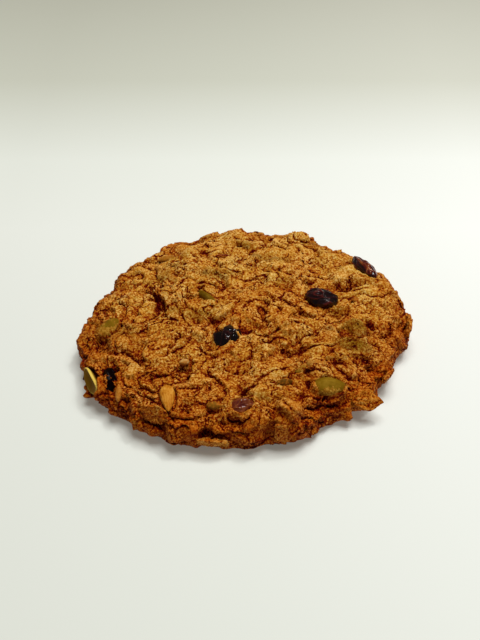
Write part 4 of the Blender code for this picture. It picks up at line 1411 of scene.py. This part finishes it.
def seed_material():
    """Olive skin with fine lengthwise lines, pale where it split, browner as painted shade at a whole seed's
    edge, deep in its dish and on its front, with a painted highlight along the split's ridge.
    """
    material, shader, net, place = new_material("pumpkin_seed_skin")
    cloud = net.noise(place, 260.0, 3.0, 0.55)
    fine = net.noise(place, 1300.0)
    dust = net.attribute("dust")
    depth = net.attribute("depth")
    # crumbs darken the value, and on the front and edge that stands for painted shade
    value = net.minus(net.blend(cloud, 0.75, fine, 0.25), net.blend(dust, 0.2, depth, 0.2))
    # deep in the dish and at a whole seed's edge the skin is painted browner and darker as shade
    colour = net.mix(net.times(depth, 0.8), net.ramp(value, OLIVE), DISH_OLIVE)
    colour = net.mix(net.attribute("rim"), colour, SPLIT_EDGE)
    grit = net.add("ShaderNodeGroup", {"node_tree": GRIT}, Vector=place).outputs["Height"]
    dusting = net.span(net.plus(dust, net.noise(place, 620.0, 3.0, 0.65)), 0.92, 1.04)
    colour = net.mix(dusting, colour, net.ramp(grit, STUCK_CRUMBS))
    net.set(shader, Base_Color=colour, Roughness=0.6, IOR=1.12)
    coat = net.times(dusting, net.plus(grit, 1.0))
    net.bump(shader, net.plus(net.plus(fine, cloud), coat), 0.5, 0.2 * MM)
    return material


def seed_shape(bm, size, axes, bare, taper, dish=0.0, ridge=0.0):
    """A kernel, dished and ridged if it is split.

    Returns how near its points are to the bright ridge with its painted highlight, how likely
    crumbs stick there, also painted shade on the front, and how dark they are with painted
    shade: deep in the dish, or out at a whole seed's edge.
    """
    made = bmesh.ops.create_uvsphere(bm, u_segments=64, v_segments=40, radius=1.0)["verts"]
    bmesh.ops.rotate(bm, matrix=Matrix.Rotation(math.pi / 2, 3, "Y"), verts=made)
    looks = []
    close, apart, dent = SEED_DENTS
    for vertex in made:
        front = max(-(axes.to_3x3() @ vertex.co).y, 0.0)
        dust = CRUMBS - bare + FRONT_CRUMBS * front + EDGE_CRUMBS * (1 - abs(vertex.co.z))
        inner = min(vertex.co.x ** 2 + vertex.co.y ** 2, 1.0)
        upper = min(max(RIDGE_UPPER - vertex.co.y, 0.0), 1.0)
        bright = min(max((inner - RIDGE_START) / RIDGE_WIDTH, 0.0), 1.0) * (1 + upper) / 2
        split = (bright, dust, min((1 - inner) * 2, 1.0))
        whole = (0.0, dust, max(inner - SEED_DARK_START, 0.0))
        looks.append(split if dish else whole)
        if vertex.co.z > 0:
            vertex.co.z -= dish * (1 - inner)
        vertex.co.z += ridge * max(-vertex.co.y, 0) ** 3
        narrow(vertex, taper)
        vertex.co += noise.noise_vector(vertex.co * close + axes.translation * apart) * dent
    bmesh.ops.scale(bm, vec=size, verts=made)
    bmesh.ops.transform(bm, matrix=axes, verts=made)
    return np.array(looks).T


SEED_SKIN = seed_material()
for entry in (*PUMPKIN_SEEDS, SPLIT_SEED):
    bm = bmesh.new()
    name, size, axes = topping_place(entry, smooth_crust)
    form = (SPLIT_SEED_TAPER, SPLIT_SEED_DISH, SPLIT_SEED_RIDGE) if entry is SPLIT_SEED else (PUMPKIN_TAPER,)
    rim, dust, depth = seed_shape(bm, size, axes, BARE.get(name, CRUSTED_BARE), *form)
    seed = finished(name + "_skin", bm, SEED_SKIN)
    set_attributes(seed, rim=rim, dust=dust, depth=depth)
    on_cookie(seed, "pumpkin_seed_skin", name)

# ---------------------------------------------------------------------------
# The sunflower kernel: pointed, tan and toasted, with fine ribs along it, lying
# in the crust near the front rim.
# ---------------------------------------------------------------------------
KERNEL_TAPER = 0.6
# ribs: how many radians of them lie across half the width, how far they stray, their height
RIBS = (24, 4.0, 0.05 * MM)
KERNEL_SHADES = ((0.25, rgba(136, 68, 8)), (0.48, rgba(184, 114, 26)), (0.75, rgba(214, 156, 64)))


def kernel_material():
    """Toasted tan kernel with faint ribs, crusted in places."""
    material, shader, net, place = new_material("sunflower_kernel")
    grit = net.add("ShaderNodeGroup", {"node_tree": GRIT}, Vector=place).outputs["Height"]
    fine = net.blend(net.noise(place, 420.0), 0.7, grit, 0.3)
    value = net.blend(net.attribute("rib"), 0.13, fine, 0.87)
    net.set(shader, Base_Color=net.ramp(value, KERNEL_SHADES), Roughness=0.5, Specular_IOR_Level=0.12)
    net.bump(shader, fine, 0.7, 0.2 * MM)
    return material


def lay_kernel():
    """The sunflower kernel with its ribs."""
    bm = bmesh.new()
    name, size, axes = topping_place(SUNFLOWER_SEED, smooth_crust)
    made = kernel_shape(bm, size, axes, KERNEL_TAPER, rings=48, sides=64)
    back = axes.inverted()
    up = axes.to_3x3() @ Vector((0, 0, 1))
    across, stray, height = RIBS
    ribs = []
    for vertex in made:
        local = back @ vertex.co
        rib = math.cos(local.y / size.y * across + noise.noise(local / MM) * stray) / 2
        vertex.co += up * rib * height
        ribs.append(rib + 0.5)
    kernel = finished("sunflower_kernel", bm, kernel_material())
    set_attributes(kernel, rib=ribs)
    on_cookie(kernel, "sunflower_kernel", name)


lay_kernel()

# ---------------------------------------------------------------------------
# The stage: a plain pale sheet under the cookie, one broad soft light from above
# and behind, a little to the right, and a camera at the photograph's angle.
# The sheet's tones are painted light and shade, and it glows a little as painted light.
# ---------------------------------------------------------------------------
CAMERA_LENS = 60.0
CAMERA_DISTANCE = 0.3119
CAMERA_ELEVATION = 38.0
LOOK_AT = Vector((-0.00121, 0.00091, 0.007)) - MIDDLE
SHEET_RADIUS = 8.0
# the sheet's tones from near to far, over this many shares to a metre, and from left to
# right: painted light and shade, dimmer far off and paler to the right
SHEET_DEEP = (2.5, 0.3)
SHEET_ACROSS = (6.0, 0.5)
DEEP_TONES = (
    (0.00, (0.657, 0.686, 0.637, 1.0)), (0.30, (0.740, 0.769, 0.730, 1.0)),
    (0.45, (0.784, 0.809, 0.769, 1.0)), (0.57, (0.750, 0.779, 0.730, 1.0)),
    (0.74, (0.510, 0.524, 0.446, 1.0)), (1.00, (0.377, 0.382, 0.314, 1.0)))
SIDE_TONES = ((0.0, (0.76, 0.76, 0.75, 1.0)), (0.5, (0.86, 0.86, 0.86, 1.0)), (1.0, (0.99, 0.98, 1.0, 1.0)))
# its tone beyond what the photograph's camera sees
FAR_TONE = (0.60, 0.605, 0.58, 1.0)
FAR_START = 0.29
FAR_END = 0.60
BACKDROP = (0.815, 0.813, 0.750, 1.0)
# the sheet glows a little, painted light that pales the shadows on it
GLOW = (1.0, 0.96, 0.82, 1.0)
GLOW_STRENGTH = 0.14
# bearing, elevation and spread in degrees, strength
WINDOW = (46.0, 75.0, 46.0, 2.84)
GLINT = (50.0, 60.0, 6.0, 0.56)
LIGHT_COLOUR = (1.0, 1.0, 0.985)
FILL_COLOUR = (1.0, 0.97, 0.88, 1.0)
FILL_STRENGTH = 0.095


def place_camera():
    """A camera in front of the cookie, looking down on it."""
    data = bpy.data.cameras.new("camera")
    data.lens = CAMERA_LENS
    data.clip_start = 0.01
    camera = bpy.data.objects.new("camera", data)
    turn = math.radians(CAMERA_ELEVATION)
    back = Vector((0.0, -math.cos(turn), math.sin(turn)))
    camera.location = LOOK_AT + back * CAMERA_DISTANCE
    camera.rotation_euler = (math.pi / 2 - turn, 0.0, 0.0)
    bpy.context.scene.collection.objects.link(camera)
    bpy.context.scene.camera = camera


def lay_sheet():
    """A flat sheet, painted paler to the right and dimmer towards its far side as light and shade, and
    glowing a little as painted light.
    """
    material, shader, net, place = new_material("pale_sheet")
    axes = net.add("ShaderNodeSeparateXYZ", Vector=place).outputs
    deep = net.ramp(net.math("MULTIPLY_ADD", axes["Y"], *SHEET_DEEP), DEEP_TONES)
    side = net.ramp(net.math("MULTIPLY_ADD", axes["X"], *SHEET_ACROSS), SIDE_TONES)
    distance = net.add("ShaderNodeVectorMath", {"operation": "LENGTH"}, Vector=place).outputs["Value"]
    tone = net.mix(net.span(distance, FAR_START, FAR_END), net.mix(1.0, deep, side, "MULTIPLY"), FAR_TONE)
    net.set(
        shader, Base_Color=tone, Roughness=0.9, Specular_IOR_Level=0.0, Emission_Color=GLOW,
        Emission_Strength=GLOW_STRENGTH)
    bm = bmesh.new()
    bmesh.ops.create_circle(bm, cap_ends=True, segments=96, radius=SHEET_RADIUS)
    bmesh.ops.translate(bm, vec=MIDDLE, verts=bm.verts)
    finished("pale_sheet", bm, material)


def sky_light(name, bearing, elevation, spread, strength, shines=True):
    """Light from one part of the sky. It shines if its reflections show."""
    data = bpy.data.lights.new(name, "SUN")
    data.energy = strength
    data.angle = math.radians(spread)
    data.color = LIGHT_COLOUR
    light = bpy.data.objects.new(name, data)
    turn = math.radians(bearing)
    height = math.radians(elevation)
    flat = math.cos(height)
    towards = Vector((flat * math.cos(turn), flat * math.sin(turn), math.sin(height)))
    light.rotation_euler = towards.to_track_quat("Z", "Y").to_euler()
    light.visible_glossy = shines
    bpy.context.scene.collection.objects.link(light)


def fill_light():
    """Even light from all round, behind a backdrop in the tone of the far sheet."""
    world = bpy.data.worlds.new("room")
    world.use_nodes = True
    net = Nodes(world.node_tree)
    fill = net.set(world.node_tree.nodes["Background"], Color=FILL_COLOUR, Strength=FILL_STRENGTH)
    backdrop = net.add("ShaderNodeBackground", Color=BACKDROP)
    seen = net.add("ShaderNodeLightPath").outputs["Is Camera Ray"]
    both = net.add("ShaderNodeMixShader", Fac=seen)
    net.feed(both.inputs[1], fill.outputs[0])
    net.feed(both.inputs[2], backdrop.outputs[0])
    net.set(world.node_tree.nodes["World Output"], Surface=both.outputs[0])
    bpy.context.scene.world = world


bpy.context.scene.view_settings.view_transform = "Standard"
place_camera()
lay_sheet()
sky_light("window", *WINDOW, shines=False)
sky_light("glint", *GLINT)
fill_light()
